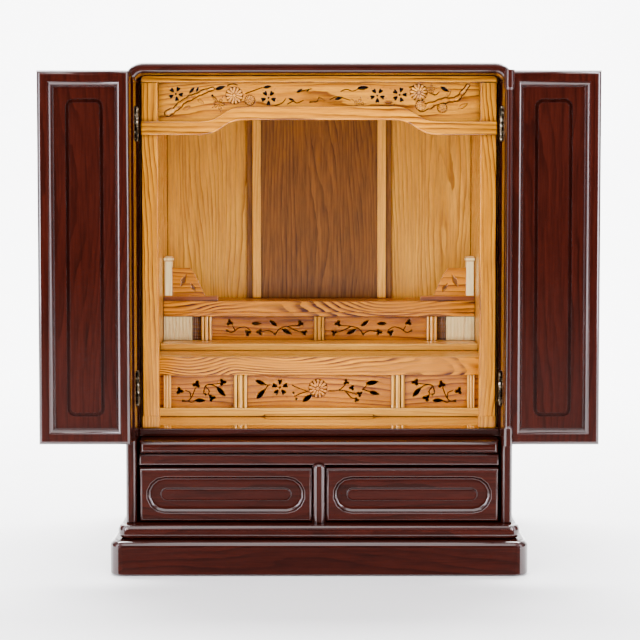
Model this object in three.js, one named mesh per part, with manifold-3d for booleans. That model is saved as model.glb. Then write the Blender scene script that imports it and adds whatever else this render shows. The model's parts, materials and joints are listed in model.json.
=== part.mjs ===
// Household altar cabinet with folded-open doors, in millimetres, +Z up.
// The front faces -Y. The origin is on the underside, at the middle of the plinth.
import * as THREE from 'three';
import { mergeVertices } from 'three/addons/utils/BufferGeometryUtils.js';
import Module from 'manifold-3d';

// Clearances
const GAP = 0.3;                // between pieces that are fixed together
const RUN = 0.5;                // between pieces that move past each other

// Plinth
const PLINTH_WIDTH = 445.5;
const PLINTH_REAR = 14;         // plinth behind the case back
const PLINTH_CORNER = 16;       // plan radius of the vertical corners
const PLINTH_WALL = 22;         // wall of the hollow lower tier
const PLINTH_STRETCHER = 30;    // rail across the hollow, from front to back
const PLINTH_LOWER_H = 36.8;
const PLINTH_UPPER_H = 15.8;
const PLINTH_UPPER_INSET = 7.9;   // the upper tier stands back from the lower one
const PLINTH_ROUND = 7;         // rounded top edge of the lower tier

// Case
const CASE_WIDTH = 413.4;
const CASE_HEIGHT = 543.4;        // over all, from the ground
const CASE_DEPTH = 290;
const CASE_SETBACK = 18;        // case front behind the plinth front
const CASE_BOARD = 11.4;        // thickness of the sides and the top
const CASE_CORNER = 20;         // outer radius of the top corners
const CASE_NOSE = 5;            // depth of the rounded front edge
const BACK_BOARD = 5;

// Drawer bay, heights from the top of the plinth
const DRAWER_H = 57.6;
const DRAWER_LIFT = 1.4;        // drawer front above the plinth
const DRAWER_TOP_GAP = 1.9;     // drawer front below the rail
const DRAWER_SETBACK = 2;       // drawer front behind the case front
const DRAWER_SIDE_GAP = 3.3;
const DRAWER_REAR_SPACE = 48;   // behind a drawer, to the case back
const DRAWER_BOX_DROP = 6;      // drawer box below the top of its front
const DRAWER_WALL = 6;
const DRAWER_FRONT = 14;
const DRAWER_BOTTOM = 4;
const DIVIDER_WIDTH = 14;
const DIVIDER_NOSE = 6;         // rounded front of the divider
const DIVIDER_LAP = 3.4;        // its round end laps over the rail by this much
const RAIL_H = 12.3;
const RAIL_SETBACK = 6.5;
const RAIL_THICK = 12;
const RAIL_MARGIN = 2.3;
const RAIL_SHELF = 6;           // board behind the rail
const TRAY_H = 14.7;            // pull-out board
const TRAY_GAP = 0.9;           // above the rail
const TRAY_REAR_SPACE = 45;
const TRAY_NOSE = 8;            // bevelled front of the pull-out board, its depth
const TRAY_NOSE_H = 6;          // and its height on either side
const TRAY_SIDE_GAP = 3;
const RECESS_WIDTH = 169.5;     // dished grip in a drawer front
const RECESS_H = 39.2;
const RECESS_DEPTH = 4.6;
const PILL_WIDTH = 139.5;         // raised bar inside the grip
const PILL_H = 12.9;
const PILL_RISE = 3;

// Altar floor and lining
const SILL_SETBACK = 26.5;      // sill behind the case front
const SILL_DEPTH = 7;
const FLOOR_BOARD = 8.1;
const LINING = 6.8;
const POST_SETBACK = 34;        // front posts behind the case front
const POST_WIDTH = 17.5;
const POST_MARGIN = 3.5;        // dark joint beside the posts
const POST_DEPTH = 10;
const POST_BLOCK_H = 12.5;
const POST_BLOCK_PROUD = 1.2;
const TOP_STRIP_H = 6.8;
const BACK_AIR = 3.2;           // between the back lining and the case back
const CENTRE_BOARD_WIDTH = 179;
const CENTRE_BOARD_PROUD = 3;
const PILASTER_INNER = 72;      // from the middle to a pilaster's near edge
const PILASTER_WIDTH = 10.7;
const PILASTER_PROUD = 4;

// Head of the opening
const TRANSOM_CARVED_H = 31;    // its carving is measured from here below its top edge
const TRANSOM_BACK = 4;         // transom behind the face of the posts
const BEAM_SETBACK = 28;
const BEAM_BOARD = 5.7;
const BEAM_H = 14.8;
const BEAM_END_DROP = 64.2;       // underside of the case top to the beam's end
const BEAM_RISE = 16.2;         // middle of the beam above its ends
const BEAM_CURVE_OUTER = 128;   // the rise runs between these distances from the middle
const BEAM_CURVE_INNER = 80;

// Tiers, heights above the altar floor
const APRON_SETBACK = 112;      // behind the case front
const APRON_BOARD = 6;
const APRON_H = 20.7;
const LOWER_STEP_H = 68.7;
const STEP_BOARD = 7.7;
const UPPER_STEP_DEPTH = 93;    // from its front to the back lining
const UPPER_STEP_H = 76.7;
const ROW_BOARD = 4;            // thickness of the carved panels
const ROW1_SETBACK = 120;
const ROW1_COLUMN = 16;
const ROW1_COLUMN_AT = 90;      // middle of a column from the middle of the row
const ROW1_END_COLUMN = 8.6;
const ROW1_END_MARGIN = 15;     // middle of an end column from the wall
const ROW1_SIDE_MARGIN = 52.5;  // middle of the carving of a side panel from the wall
const BOTTOM_RAIL_H = 9.5;
const BOTTOM_RAIL_ARCH = 2.6;
const ROW2_DEPTH = 48;          // from its front to the back lining
const ROW2_COLUMN = 13;
const ROW2_COLUMN_MARGIN = 52;  // middle of a column from the wall
const COLUMN_DEPTH = 5.4;
const RIBBED_WIDTH = 34.2;
const RIB_PITCH = 1.65;
const RIBBED_DEPTH = 8;
const TIER_DEPTH = 57;          // from its front to the back lining
const TIER_TOP_H = 124.4;       // top of the tier above the altar floor
const TIER_H = 18.5;
const TIER_MOULDING_H = 5.4;
const TIER_MOULDING_BACK = 2.5;
const NEWEL_WIDTH = 11.8;
const NEWEL_H = 54;
const NEWEL_CAP_H = 7;
const WING_LENGTH = 38.5;
const WING_H = 34;
const WING_BOARD = 4;
const STRIP_LENGTH = 66;
const STRIP_H = 6;
const RAILING_DEPTH = 8;
const RAILING_SETBACK = 3;      // behind the front of the top tier

// Carving
const BLOOM_RISE = 2.4;         // raised flowers in front of their board
const LEAF_RISE = 1.4;          // raised leaves
const BRANCH_RISE = 2;
const BRANCH_WIDTH = 3;
const STEM_WIDTH = 1.1;         // engraved stems
const STEM_DEPTH = 1.6;
const SCROLL_DEPTH = 1.1;       // engraved leaves of the railings

// Doors
const LEAF_THICK = 24;
const LEAF_A_WIDTH = 96.8;      // hinged to the case
const LEAF_B_WIDTH = 95.25;     // hinged to the first leaf
const LEAF_BORDER = 17;         // width of the raised moulding
const LEAF_FREE_BORDER = 15;    // and along the free edge of the second leaf
const LEAF_SINK = 5.5;          // panel behind the crest of the moulding
const LEAF_BACK_MARGIN = 20;    // frame on the other face
const LEAF_FOOT = 3.6;           // leaf above the pull-out board
const FIELD_INSET = 15.8;        // raised field inside the panel
const FIELD_CORNER = 5;
const GROOVE = 3.6;
const GROOVE_DEPTH = 2.6;
const BACK_PANEL_SINK = 1.5;
const HINGE_INSET = 2.25;       // hinge axis inside the edge of the opening
const HINGE_H = 37;
const HINGE_RADIUS = 2.4;
const HINGE_PLATE = 1.2;
const HINGE_PLATE_WIDTH = 15;
const HINGE_FROM_END = 53;      // middle of a hinge from the leaf's end
const ASTRAGAL_WIDTH = 8;
const ASTRAGAL_CAP = 11;
const ASTRAGAL_CAP_H = 22;
const ASTRAGAL_PROUD = 6;

// Places worked out from the sizes above
const PLINTH_DEPTH = CASE_SETBACK + CASE_DEPTH + PLINTH_REAR;
const FRONT = -PLINTH_DEPTH / 2 + CASE_SETBACK;
const BACK = FRONT + CASE_DEPTH;
const BASE_TOP = PLINTH_LOWER_H + PLINTH_UPPER_H;
const OPENING = CASE_WIDTH / 2 - CASE_BOARD;
const OPENING_TOP = CASE_HEIGHT - CASE_BOARD;
const DRAWER_Z = BASE_TOP + DRAWER_LIFT;
const RAIL_Z = DRAWER_Z + DRAWER_H + DRAWER_TOP_GAP;
const TRAY_Z = RAIL_Z + RAIL_H + TRAY_GAP;
const TRAY_TOP = TRAY_Z + TRAY_H;
const FLOOR_Z = TRAY_TOP + RUN + FLOOR_BOARD;
const WALL = OPENING - LINING;
const STRIP_Z = OPENING_TOP - GAP - TOP_STRIP_H;
const BACK_Y = BACK - BACK_BOARD - BACK_AIR - LINING;
const LOWER_STEP_TOP = FLOOR_Z + LOWER_STEP_H;
const UPPER_STEP_TOP = FLOOR_Z + UPPER_STEP_H;
const TIER_TOP = FLOOR_Z + TIER_TOP_H;
const TIER_Y = BACK_Y - TIER_DEPTH;
const ROW1_END_X = WALL - ROW1_END_MARGIN;
const ROW2_COLUMN_X = WALL - ROW2_COLUMN_MARGIN;
const LEAF_Z = TRAY_TOP + LEAF_FOOT;
const LEAF_TOP = OPENING_TOP - RUN;
const HINGE_X = OPENING - HINGE_INSET;
const FOLD_X = HINGE_X + RUN / 2 + LEAF_A_WIDTH + RUN / 2;
const LEAF_A_Y = FRONT - RUN - LEAF_THICK;
const LEAF_B_Y = LEAF_A_Y - RUN - LEAF_THICK;

// Materials
const finish = (name, color, roughness, metalness = 0) => {
  const material = new THREE.MeshStandardMaterial({ color, roughness, metalness });
  material.name = name;
  return material;
};
const ROSEWOOD = finish('rosewood', 0x4a1e19, 0.22);
const GOLD_WOOD = finish('gold_wood', 0xd9a75c, 0.3);
const BROWN_WOOD = finish('brown_wood', 0x8a4f2a, 0.3);
const PALE_WOOD = finish('pale_wood', 0xe2bd83, 0.45);
const BRASS = finish('hinge_brass', 0x8c7a55, 0.35, 1);

const wasm = await Module();
wasm.setup();

const cabinet = new THREE.Group();

const place = (name, geometry, material) => {
  const mesh = new THREE.Mesh(geometry, material);
  mesh.name = name;
  cabinet.add(mesh);
};

// Turns a closed geometry into a solid that can be joined and cut
function toSolid(geometry) {
  const bare = geometry.clone();
  bare.deleteAttribute('normal');
  bare.deleteAttribute('uv');
  const merged = mergeVertices(bare, 1e-4);
  return new wasm.Manifold(new wasm.Mesh({
    numProp: 3,
    vertProperties: new Float32Array(merged.attributes.position.array),
    triVerts: new Uint32Array(merged.index.array),
  }));
}

function toGeometry(solid) {
  const mesh = solid.getMesh();
  const geometry = new THREE.BufferGeometry();
  geometry.setAttribute('position', new THREE.BufferAttribute(new Float32Array(mesh.vertProperties), 3));
  geometry.setIndex(Array.from(mesh.triVerts));
  geometry.computeVertexNormals();
  return geometry;
}

function joined(geometries) {
  return toGeometry(geometries.map(toSolid).reduce((all, next) => all.add(next)));
}

function cut(geometry, cutters) {
  return toGeometry(cutters.map(toSolid).reduce((left, next) => left.subtract(next), toSolid(geometry)));
}

function block(x0, x1, y0, y1, z0, z1) {
  return new THREE.BoxGeometry(x1 - x0, y1 - y0, z1 - z0)
    .translate((x0 + x1) / 2, (y0 + y1) / 2, (z0 + z1) / 2);
}

// A closed body through loops with equal numbers of points, capped at both ends
function loft(loops) {
  const count = loops[0].length;
  const positions = loops.flat().flatMap((p) => [p.x, p.y, p.z]);
  const index = [];
  for (let row = 0; row < loops.length - 1; row += 1) {
    for (let i = 0; i < count; i += 1) {
      const next = (i + 1) % count;
      const [a, b] = [row * count + i, row * count + next];
      index.push(a, b, a + count, b, b + count, a + count);
    }
  }
  const flatten = capFlattener(loops[0]);
  const last = (loops.length - 1) * count;
  const caps = [[0, loops[0], true], [last, loops[loops.length - 1], false]];
  for (const [start, loop, reversed] of caps) {
    const outline = loop.map(flatten);
    const turned = THREE.ShapeUtils.isClockWise(outline);
    for (const [i, j, k] of THREE.ShapeUtils.triangulateShape(outline, [])) {
      const keep = turned === reversed;
      index.push(start + i, start + (keep ? j : k), start + (keep ? k : j));
    }
  }
  const geometry = new THREE.BufferGeometry();
  geometry.setAttribute('position', new THREE.Float32BufferAttribute(positions, 3));
  geometry.setIndex(index);
  return facingOut(geometry);
}

// Drops the axis along which a loop is flattest, so that its cap can be triangulated
function capFlattener(loop) {
  const size = new THREE.Box3().setFromPoints(loop).getSize(new THREE.Vector3());
  if (size.z <= size.x && size.z <= size.y) return (p) => new THREE.Vector2(p.x, p.y);
  if (size.y <= size.x) return (p) => new THREE.Vector2(p.z, p.x);
  return (p) => new THREE.Vector2(p.y, p.z);
}

// Turns every face over where the enclosed volume comes out negative
function facingOut(geometry) {
  const p = geometry.attributes.position;
  const index = geometry.index.array;
  const [a, b, c] = [new THREE.Vector3(), new THREE.Vector3(), new THREE.Vector3()];
  let volume = 0;
  for (let i = 0; i < index.length; i += 3) {
    a.fromBufferAttribute(p, index[i]);
    b.fromBufferAttribute(p, index[i + 1]);
    c.fromBufferAttribute(p, index[i + 2]);
    volume += a.dot(b.cross(c));
  }
  if (volume < 0) geometry.setIndex(Array.from(index).reverse());
  geometry.computeVertexNormals();
  return geometry;
}

// A flat shape in x and z, extruded from y0 towards the back
function slab(shape, y0, depth, curveSegments = 6) {
  return new THREE.ExtrudeGeometry(shape, { depth, bevelEnabled: false, curveSegments })
    .rotateX(Math.PI / 2)
    .translate(0, y0 + depth, 0);
}

function mirrored(geometry) {
  const copy = geometry.clone();
  copy.scale(-1, 1, 1);
  copy.setIndex(Array.from(copy.index.array).reverse());
  copy.computeVertexNormals();
  return copy;
}

// Case and plinth

// A rectangle with round corners, seen from above
function planLoop(width, depth, radius, z, steps = 4) {
  const loop = [];
  const [cx, cy] = [width / 2 - radius, depth / 2 - radius];
  for (const [sx, sy, start] of [[1, 1, 0], [-1, 1, 1], [-1, -1, 2], [1, -1, 3]]) {
    for (let i = 0; i <= steps; i += 1) {
      const angle = (start + i / steps) * Math.PI / 2;
      loop.push(new THREE.Vector3(sx * cx + radius * Math.cos(angle), sy * cy + radius * Math.sin(angle), z));
    }
  }
  return loop;
}

function plinthLoop(inset, z) {
  return planLoop(PLINTH_WIDTH - 2 * inset, PLINTH_DEPTH - 2 * inset, PLINTH_CORNER - inset / 2, z);
}

function buildPlinth() {
  const footRound = 1.5;
  const loops = [plinthLoop(footRound, 0), plinthLoop(0, footRound)];
  for (let i = 0; i <= 4; i += 1) {
    const angle = i / 4 * Math.PI / 2;
    const inset = PLINTH_ROUND * (1 - Math.cos(angle));
    loops.push(plinthLoop(inset, PLINTH_LOWER_H - PLINTH_ROUND + PLINTH_ROUND * Math.sin(angle)));
  }
  const hollow = loft([-1, PLINTH_LOWER_H + 1].map((z) => plinthLoop(PLINTH_WALL, z)));
  const stretcher = block(-PLINTH_STRETCHER / 2, PLINTH_STRETCHER / 2, -PLINTH_DEPTH / 2, PLINTH_DEPTH / 2,
    -2, PLINTH_LOWER_H + 2);
  place('plinth_lower', cut(loft(loops), [cut(hollow, [stretcher])]), ROSEWOOD);

  const upper = [];
  const noseDepth = 4.5;
  const height = PLINTH_UPPER_H - GAP;
  for (let i = 0; i <= 5; i += 1) {
    const angle = i / 5 * Math.PI;
    const inset = PLINTH_UPPER_INSET + noseDepth * (1 - Math.sin(angle));
    upper.push(plinthLoop(inset, PLINTH_LOWER_H + GAP + height * (1 - Math.cos(angle)) / 2));
  }
  place('plinth_upper', loft(upper), ROSEWOOD);
}

// The section of a case board across its thickness, with a rounded front edge
function caseSection(x, z, outward) {
  const half = CASE_BOARD / 2;
  const noseSteps = 6;
  const points = [[half, BACK], [-half, BACK]];
  for (let i = 0; i <= noseSteps; i += 1) {
    const angle = i / noseSteps * Math.PI;
    points.push([-half * Math.cos(angle), FRONT + CASE_NOSE * (1 - Math.sin(angle))]);
  }
  return points.map(([u, y]) => new THREE.Vector3(x + outward.x * u, y, z + outward.y * u));
}

// What is left of a board inside the rounded top corners of the case
function withinCase(geometry) {
  const width = OPENING - GAP;
  const top = OPENING_TOP - GAP;
  const radius = CASE_CORNER - CASE_BOARD;
  const shape = new THREE.Shape();
  shape.moveTo(-width, 0);
  shape.lineTo(width, 0);
  shape.lineTo(width, top - radius);
  shape.absarc(width - radius, top - radius, radius, 0, Math.PI / 2);
  shape.lineTo(-width + radius, top);
  shape.absarc(-width + radius, top - radius, radius, Math.PI / 2, Math.PI);
  return toGeometry(toSolid(geometry).intersect(toSolid(slab(shape, FRONT - 1, CASE_DEPTH + 2, 4))));
}

function buildCase() {
  const middle = CASE_WIDTH / 2 - CASE_BOARD / 2;
  const turn = CASE_CORNER - CASE_BOARD / 2;
  const corner = { x: CASE_WIDTH / 2 - CASE_CORNER, z: CASE_HEIGHT - CASE_CORNER };
  const cornerSteps = 5;
  for (const [side, sign] of [['left', -1], ['right', 1]]) {
    const outward = new THREE.Vector2(sign, 0);
    const levels = [BASE_TOP + GAP, corner.z - GAP];
    place(`case_side_${side}`, loft(levels.map((z) => caseSection(sign * middle, z, outward))), ROSEWOOD);
  }
  const stations = [];
  for (let i = 0; i <= 2 * cornerSteps + 1; i += 1) {
    const first = i <= cornerSteps;
    const share = (first ? i : i - 1) / (2 * cornerSteps);
    const angle = Math.PI * (1 - share);
    const outward = new THREE.Vector2(Math.cos(angle), Math.sin(angle));
    const centre = first ? -corner.x : corner.x;
    stations.push(caseSection(centre + turn * outward.x, corner.z + turn * outward.y, outward));
  }
  place('case_top', loft(stations), ROSEWOOD);
  place('case_back', withinCase(block(-OPENING + GAP, OPENING - GAP, BACK - BACK_BOARD, BACK,
    BASE_TOP + GAP, OPENING_TOP - GAP)), ROSEWOOD);
}

// Loops round a rectangle in x and z, each set in from its edge and back from a crest plane; at x0 the
// insets can be a share of those on the other sides
function faceLoops(x0, x1, z0, z1, crestY, direction, profile, share = 1) {
  return profile.map(([inset, depth]) => [
    [x0 + inset * share, z0 + inset], [x1 - inset, z0 + inset], [x1 - inset, z1 - inset],
    [x0 + inset * share, z1 - inset],
  ].map(([x, z]) => new THREE.Vector3(x, crestY + direction * depth, z)));
}

// A long shape with half-round ends, in x and z
function barLoop(cx, cz, width, height, y, steps = 7) {
  const radius = height / 2;
  const loop = [];
  for (const sign of [1, -1]) {
    for (let i = 0; i <= steps; i += 1) {
      const angle = sign * (Math.PI / 2) - Math.PI * i / steps;
      const x = cx + sign * (width / 2 - radius) + radius * Math.cos(angle);
      loop.push(new THREE.Vector3(x, y, cz + radius * Math.sin(angle)));
    }
  }
  return loop;
}

function dishedGrip(cx, cz, faceY) {
  const dish = [[0, -1], [0, 0], [1.4, 0.55], [3.4, 0.88], [6.4, 1]].map(([inset, share]) => (
    barLoop(cx, cz, RECESS_WIDTH - 2 * inset, RECESS_H - 2 * inset, faceY + share * RECESS_DEPTH)));
  const pillBase = faceY + RECESS_DEPTH + 1;
  const pillTop = faceY + RECESS_DEPTH - PILL_RISE;
  const pill = [[0, pillBase], [0, pillTop + 1.5], [0.7, pillTop + 0.5], [2.2, pillTop]].map(([inset, y]) => (
    barLoop(cx, cz, PILL_WIDTH - 2 * inset, PILL_H - 2 * inset, y)));
  return { dish: loft(dish), pill: loft(pill) };
}

function buildDrawer(side, sign) {
  const inner = DIVIDER_WIDTH / 2 + RUN;
  const outer = OPENING - DRAWER_SIDE_GAP;
  const [x0, x1] = sign > 0 ? [inner, outer] : [-outer, -inner];
  const [z0, z1] = [DRAWER_Z, DRAWER_Z + DRAWER_H];
  const faceY = FRONT + DRAWER_SETBACK;
  const edge = [[0, DRAWER_FRONT], [0, 2.6], [0.8, 0.8], [2.6, 0]];
  const front = loft(faceLoops(x0, x1, z0, z1, faceY, 1, edge));
  const wallInset = 2;
  const boxTop = z1 - DRAWER_BOX_DROP;
  const rear = BACK - BACK_BOARD - DRAWER_REAR_SPACE;
  const outside = block(x0 + wallInset, x1 - wallInset, faceY + DRAWER_FRONT - 1, rear, z0 + 1, boxTop);
  const inside = block(x0 + wallInset + DRAWER_WALL, x1 - wallInset - DRAWER_WALL,
    faceY + DRAWER_FRONT, rear - DRAWER_WALL, z0 + 1 + DRAWER_BOTTOM, z1 + 1);
  const grip = dishedGrip((x0 + x1) / 2, (z0 + z1) / 2, faceY);
  const frontWithGrip = joined([cut(front, [grip.dish]), grip.pill]);
  place(`drawer_${side}`, joined([frontWithGrip, cut(outside, [inside])]), ROSEWOOD);
}

function buildDrawerBay() {
  buildDrawer('left', -1);
  buildDrawer('right', 1);
  const shelfEnd = BACK - BACK_BOARD - GAP;

  const railWidth = OPENING - RAIL_MARGIN;
  const railEdge = [[0, RAIL_THICK], [0, 2], [0.6, 0.6], [2, 0]];
  const rail = loft(faceLoops(-railWidth, railWidth, RAIL_Z, RAIL_Z + RAIL_H, FRONT + RAIL_SETBACK, 1, railEdge));
  const shelf = block(-railWidth, railWidth, FRONT + RAIL_SETBACK + RAIL_THICK - 1, shelfEnd,
    RAIL_Z + RAIL_H - RAIL_SHELF, RAIL_Z + RAIL_H - GAP);
  place('front_rail', joined([rail, shelf]), ROSEWOOD);

  const half = DIVIDER_WIDTH / 2;
  const endRound = 5;
  const noseLoop = (z, share) => {
    const loop = [new THREE.Vector3(half * share, FRONT + DIVIDER_NOSE, z),
      new THREE.Vector3(-half * share, FRONT + DIVIDER_NOSE, z)];
    for (let i = 1; i < 8; i += 1) {
      const angle = i / 8 * Math.PI;
      loop.push(new THREE.Vector3(-half * share * Math.cos(angle),
        FRONT + DIVIDER_NOSE * (1 - share * Math.sin(angle)), z));
    }
    return loop;
  };
  const top = RAIL_Z + DIVIDER_LAP;
  const rounded = [noseLoop(BASE_TOP + GAP, 1), noseLoop(top - endRound, 1)];
  for (let i = 1; i < 5; i += 1) {
    const angle = i / 5 * Math.PI / 2;
    rounded.push(noseLoop(top - endRound * (1 - Math.sin(angle)), Math.cos(angle)));
  }
  const board = block(-half, half, FRONT + DIVIDER_NOSE - 0.5, shelfEnd, BASE_TOP + GAP, RAIL_Z - GAP);
  place('drawer_divider', joined([loft(rounded), board]), ROSEWOOD);

  const trayWidth = OPENING - TRAY_SIDE_GAP;
  const trayLength = CASE_DEPTH - BACK_BOARD - TRAY_REAR_SPACE;
  const nose = [[0, 1], [0.1, 0.58], [0.33, 0.28], [0.67, 0.09], [1, 0]];
  const trayEdge = [[0, trayLength], ...nose.map(([up, back]) => [up * TRAY_NOSE_H, back * TRAY_NOSE])];
  const tray = loft(faceLoops(-trayWidth, trayWidth, TRAY_Z, TRAY_TOP, FRONT, 1, trayEdge));
  place('pull_out_board', tray, ROSEWOOD);
}

// Doors

// Offsets from a leaf's edge and depths behind its crest, from the rim to the flat panel
function leafProfile() {
  const moulding = [[0, 4.6], [0.5, 2.6], [1.8, 1], [3.6, 0.2], [5.6, 0], [11.4, 0.3], [13.4, 1], [14.9, 2.2],
    [15.9, 3.8]].map(([offset, depth]) => [offset * LEAF_BORDER / 17, depth]);
  return [[LEAF_BACK_MARGIN, LEAF_THICK - BACK_PANEL_SINK], [LEAF_BACK_MARGIN, LEAF_THICK], [0, LEAF_THICK],
    ...moulding, [LEAF_BORDER, LEAF_SINK]];
}

function roundedShape(x0, x1, z0, z1, radius) {
  const shape = new THREE.Shape();
  shape.moveTo(x0 + radius, z0);
  shape.lineTo(x1 - radius, z0);
  shape.absarc(x1 - radius, z0 + radius, radius, -Math.PI / 2, 0);
  shape.lineTo(x1, z1 - radius);
  shape.absarc(x1 - radius, z1 - radius, radius, 0, Math.PI / 2);
  shape.lineTo(x0 + radius, z1);
  shape.absarc(x0 + radius, z1 - radius, radius, Math.PI / 2, Math.PI);
  shape.lineTo(x0, z0 + radius);
  shape.absarc(x0 + radius, z0 + radius, radius, Math.PI, Math.PI * 1.5);
  return shape;
}

// The groove that outlines the raised field of a panel
function fieldGroove(x0, x1, crestY, direction, firstBorder = LEAF_BORDER) {
  const margin = FIELD_INSET - GROOVE;
  const inset = LEAF_BORDER + margin;
  const edges = (extra) => [x0 + firstBorder + margin + extra, x1 - inset - extra, LEAF_Z + inset + extra,
    LEAF_TOP - inset - extra];
  const ring = roundedShape(...edges(0), FIELD_CORNER + GROOVE);
  ring.holes.push(roundedShape(...edges(GROOVE), FIELD_CORNER));
  const surface = crestY + direction * LEAF_SINK;
  const start = direction > 0 ? surface - 1 : surface - GROOVE_DEPTH;
  return slab(ring, start, GROOVE_DEPTH + 1, 3);
}

// Middle heights of the hinges on a leaf
const HINGE_HEIGHTS = [LEAF_Z + HINGE_FROM_END, LEAF_TOP - HINGE_FROM_END];

// Room for the barrels on a vertical axis
function barrelRooms(axisX, axisY) {
  const room = HINGE_RADIUS + RUN;
  return HINGE_HEIGHTS.map((z) => (
    block(axisX - room, axisX + room, axisY - room, axisY + room, z - HINGE_H / 2 - RUN, z + HINGE_H / 2 + RUN)));
}

// Room for the plates let into a leaf's edge; the leaf lies beyond edgeX
function plateRooms(edgeX, leafSide, y0, y1) {
  const [x0, x1] = leafSide > 0 ? [edgeX - 1, edgeX + HINGE_PLATE] : [edgeX - HINGE_PLATE, edgeX + 1];
  return HINGE_HEIGHTS.map((z) => block(x0, x1, y0, y1, z - HINGE_H / 2 - GAP, z + HINGE_H / 2 + GAP));
}

// A butt hinge: the barrel on its axis and the plate on the leaf's edge
function hinge(axisX, axisY, edgeX, leafSide, plateY, z) {
  const barrel = new THREE.CylinderGeometry(HINGE_RADIUS, HINGE_RADIUS, HINGE_H, 12)
    .rotateX(Math.PI / 2)
    .translate(axisX, axisY, z);
  const [x0, x1] = leafSide > 0 ? [axisX, edgeX + HINGE_PLATE - GAP] : [edgeX - HINGE_PLATE + GAP, axisX];
  const plate = block(x0, x1, Math.min(plateY, axisY), Math.max(plateY, axisY), z - HINGE_H / 2, z + HINGE_H / 2);
  return joined([barrel, plate]);
}

// The corner of a leaf that has to pass the rounded inner corner of the case
function passingCorner(edgeX, leafSide) {
  const radius = CASE_CORNER - CASE_BOARD + RUN;
  const shape = new THREE.Shape();
  shape.moveTo(edgeX - leafSide, LEAF_TOP + 1);
  shape.lineTo(edgeX + leafSide * radius, LEAF_TOP + 1);
  shape.lineTo(edgeX + leafSide * radius, LEAF_TOP);
  for (let i = 1; i < 6; i += 1) {
    const angle = i / 6 * Math.PI / 2;
    shape.lineTo(edgeX + leafSide * radius * (1 - Math.sin(angle)), LEAF_TOP - radius * (1 - Math.cos(angle)));
  }
  shape.lineTo(edgeX, LEAF_TOP - radius);
  shape.lineTo(edgeX - leafSide, LEAF_TOP - radius);
  return slab(shape, LEAF_A_Y - 1, LEAF_THICK + 2);
}

function buildDoorPair(side) {
  const dress = side === 'left' ? mirrored : (geometry) => geometry;
  const hingeEdge = HINGE_X + RUN / 2;
  const foldEdge = FOLD_X - RUN / 2;
  const freeEdge = foldEdge - LEAF_B_WIDTH;
  const hingeY = FRONT - RUN / 2;
  const foldY = LEAF_A_Y - RUN / 2;
  const plateEnd = { post: hingeY - HINGE_PLATE_WIDTH, fold: foldY + HINGE_PLATE_WIDTH };

  const leafA = loft(faceLoops(hingeEdge, foldEdge, LEAF_Z, LEAF_TOP, FRONT - RUN, -1, leafProfile()));
  place(`leaf_${side}_a`, dress(cut(leafA, [
    fieldGroove(hingeEdge, foldEdge, FRONT - RUN, -1),
    passingCorner(hingeEdge, 1),
    ...barrelRooms(HINGE_X, hingeY),
    ...barrelRooms(FOLD_X, foldY),
    ...plateRooms(hingeEdge, 1, plateEnd.post - GAP, hingeY + 1),
    ...plateRooms(foldEdge, -1, foldY - 1, plateEnd.fold + GAP),
  ])), ROSEWOOD);

  const leafB = loft(faceLoops(freeEdge, foldEdge, LEAF_Z, LEAF_TOP, LEAF_B_Y, 1, leafProfile(),
    LEAF_FREE_BORDER / LEAF_BORDER));
  place(`leaf_${side}_b`, dress(cut(leafB, [
    fieldGroove(freeEdge, foldEdge, LEAF_B_Y, 1, LEAF_FREE_BORDER),
    ...barrelRooms(FOLD_X, foldY),
  ])), ROSEWOOD);

  HINGE_HEIGHTS.forEach((z, i) => {
    place(`hinge_${side}_post_${i + 1}`, dress(hinge(HINGE_X, hingeY, hingeEdge, 1, plateEnd.post, z)), BRASS);
    place(`hinge_${side}_fold_${i + 1}`, dress(hinge(FOLD_X, foldY, foldEdge, -1, plateEnd.fold, z)), BRASS);
  });
  if (side === 'right') place('astragal', astragal(freeEdge), ROSEWOOD);
}

// A half-round strip with a block at each end, over the free edge of the last leaf
function astragal(x) {
  const back = LEAF_B_Y - GAP;
  const halfRound = (width, proud, z) => {
    const loop = [];
    for (let i = 0; i <= 8; i += 1) {
      const angle = i / 8 * Math.PI;
      loop.push(new THREE.Vector3(x - width / 2 * Math.cos(angle), back - proud * Math.sin(angle), z));
    }
    return loop;
  };
  const neck = 0.4;
  const capProfile = [[0, 1], [0.82, 1], [0.93, 0.85], [1, neck]];
  const cap = (endZ, inward) => loft(capProfile.map(([along, share]) => (
    halfRound(ASTRAGAL_CAP * share, (ASTRAGAL_PROUD + 1) * share, endZ + inward * along * ASTRAGAL_CAP_H))));
  const shaft = loft([LEAF_Z + 2, LEAF_TOP - 2].map((z) => halfRound(ASTRAGAL_WIDTH, ASTRAGAL_PROUD, z)));
  return joined([shaft, cap(LEAF_Z, 1), cap(LEAF_TOP, -1)]);
}

// Altar floor, lining and the head of the opening

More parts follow.
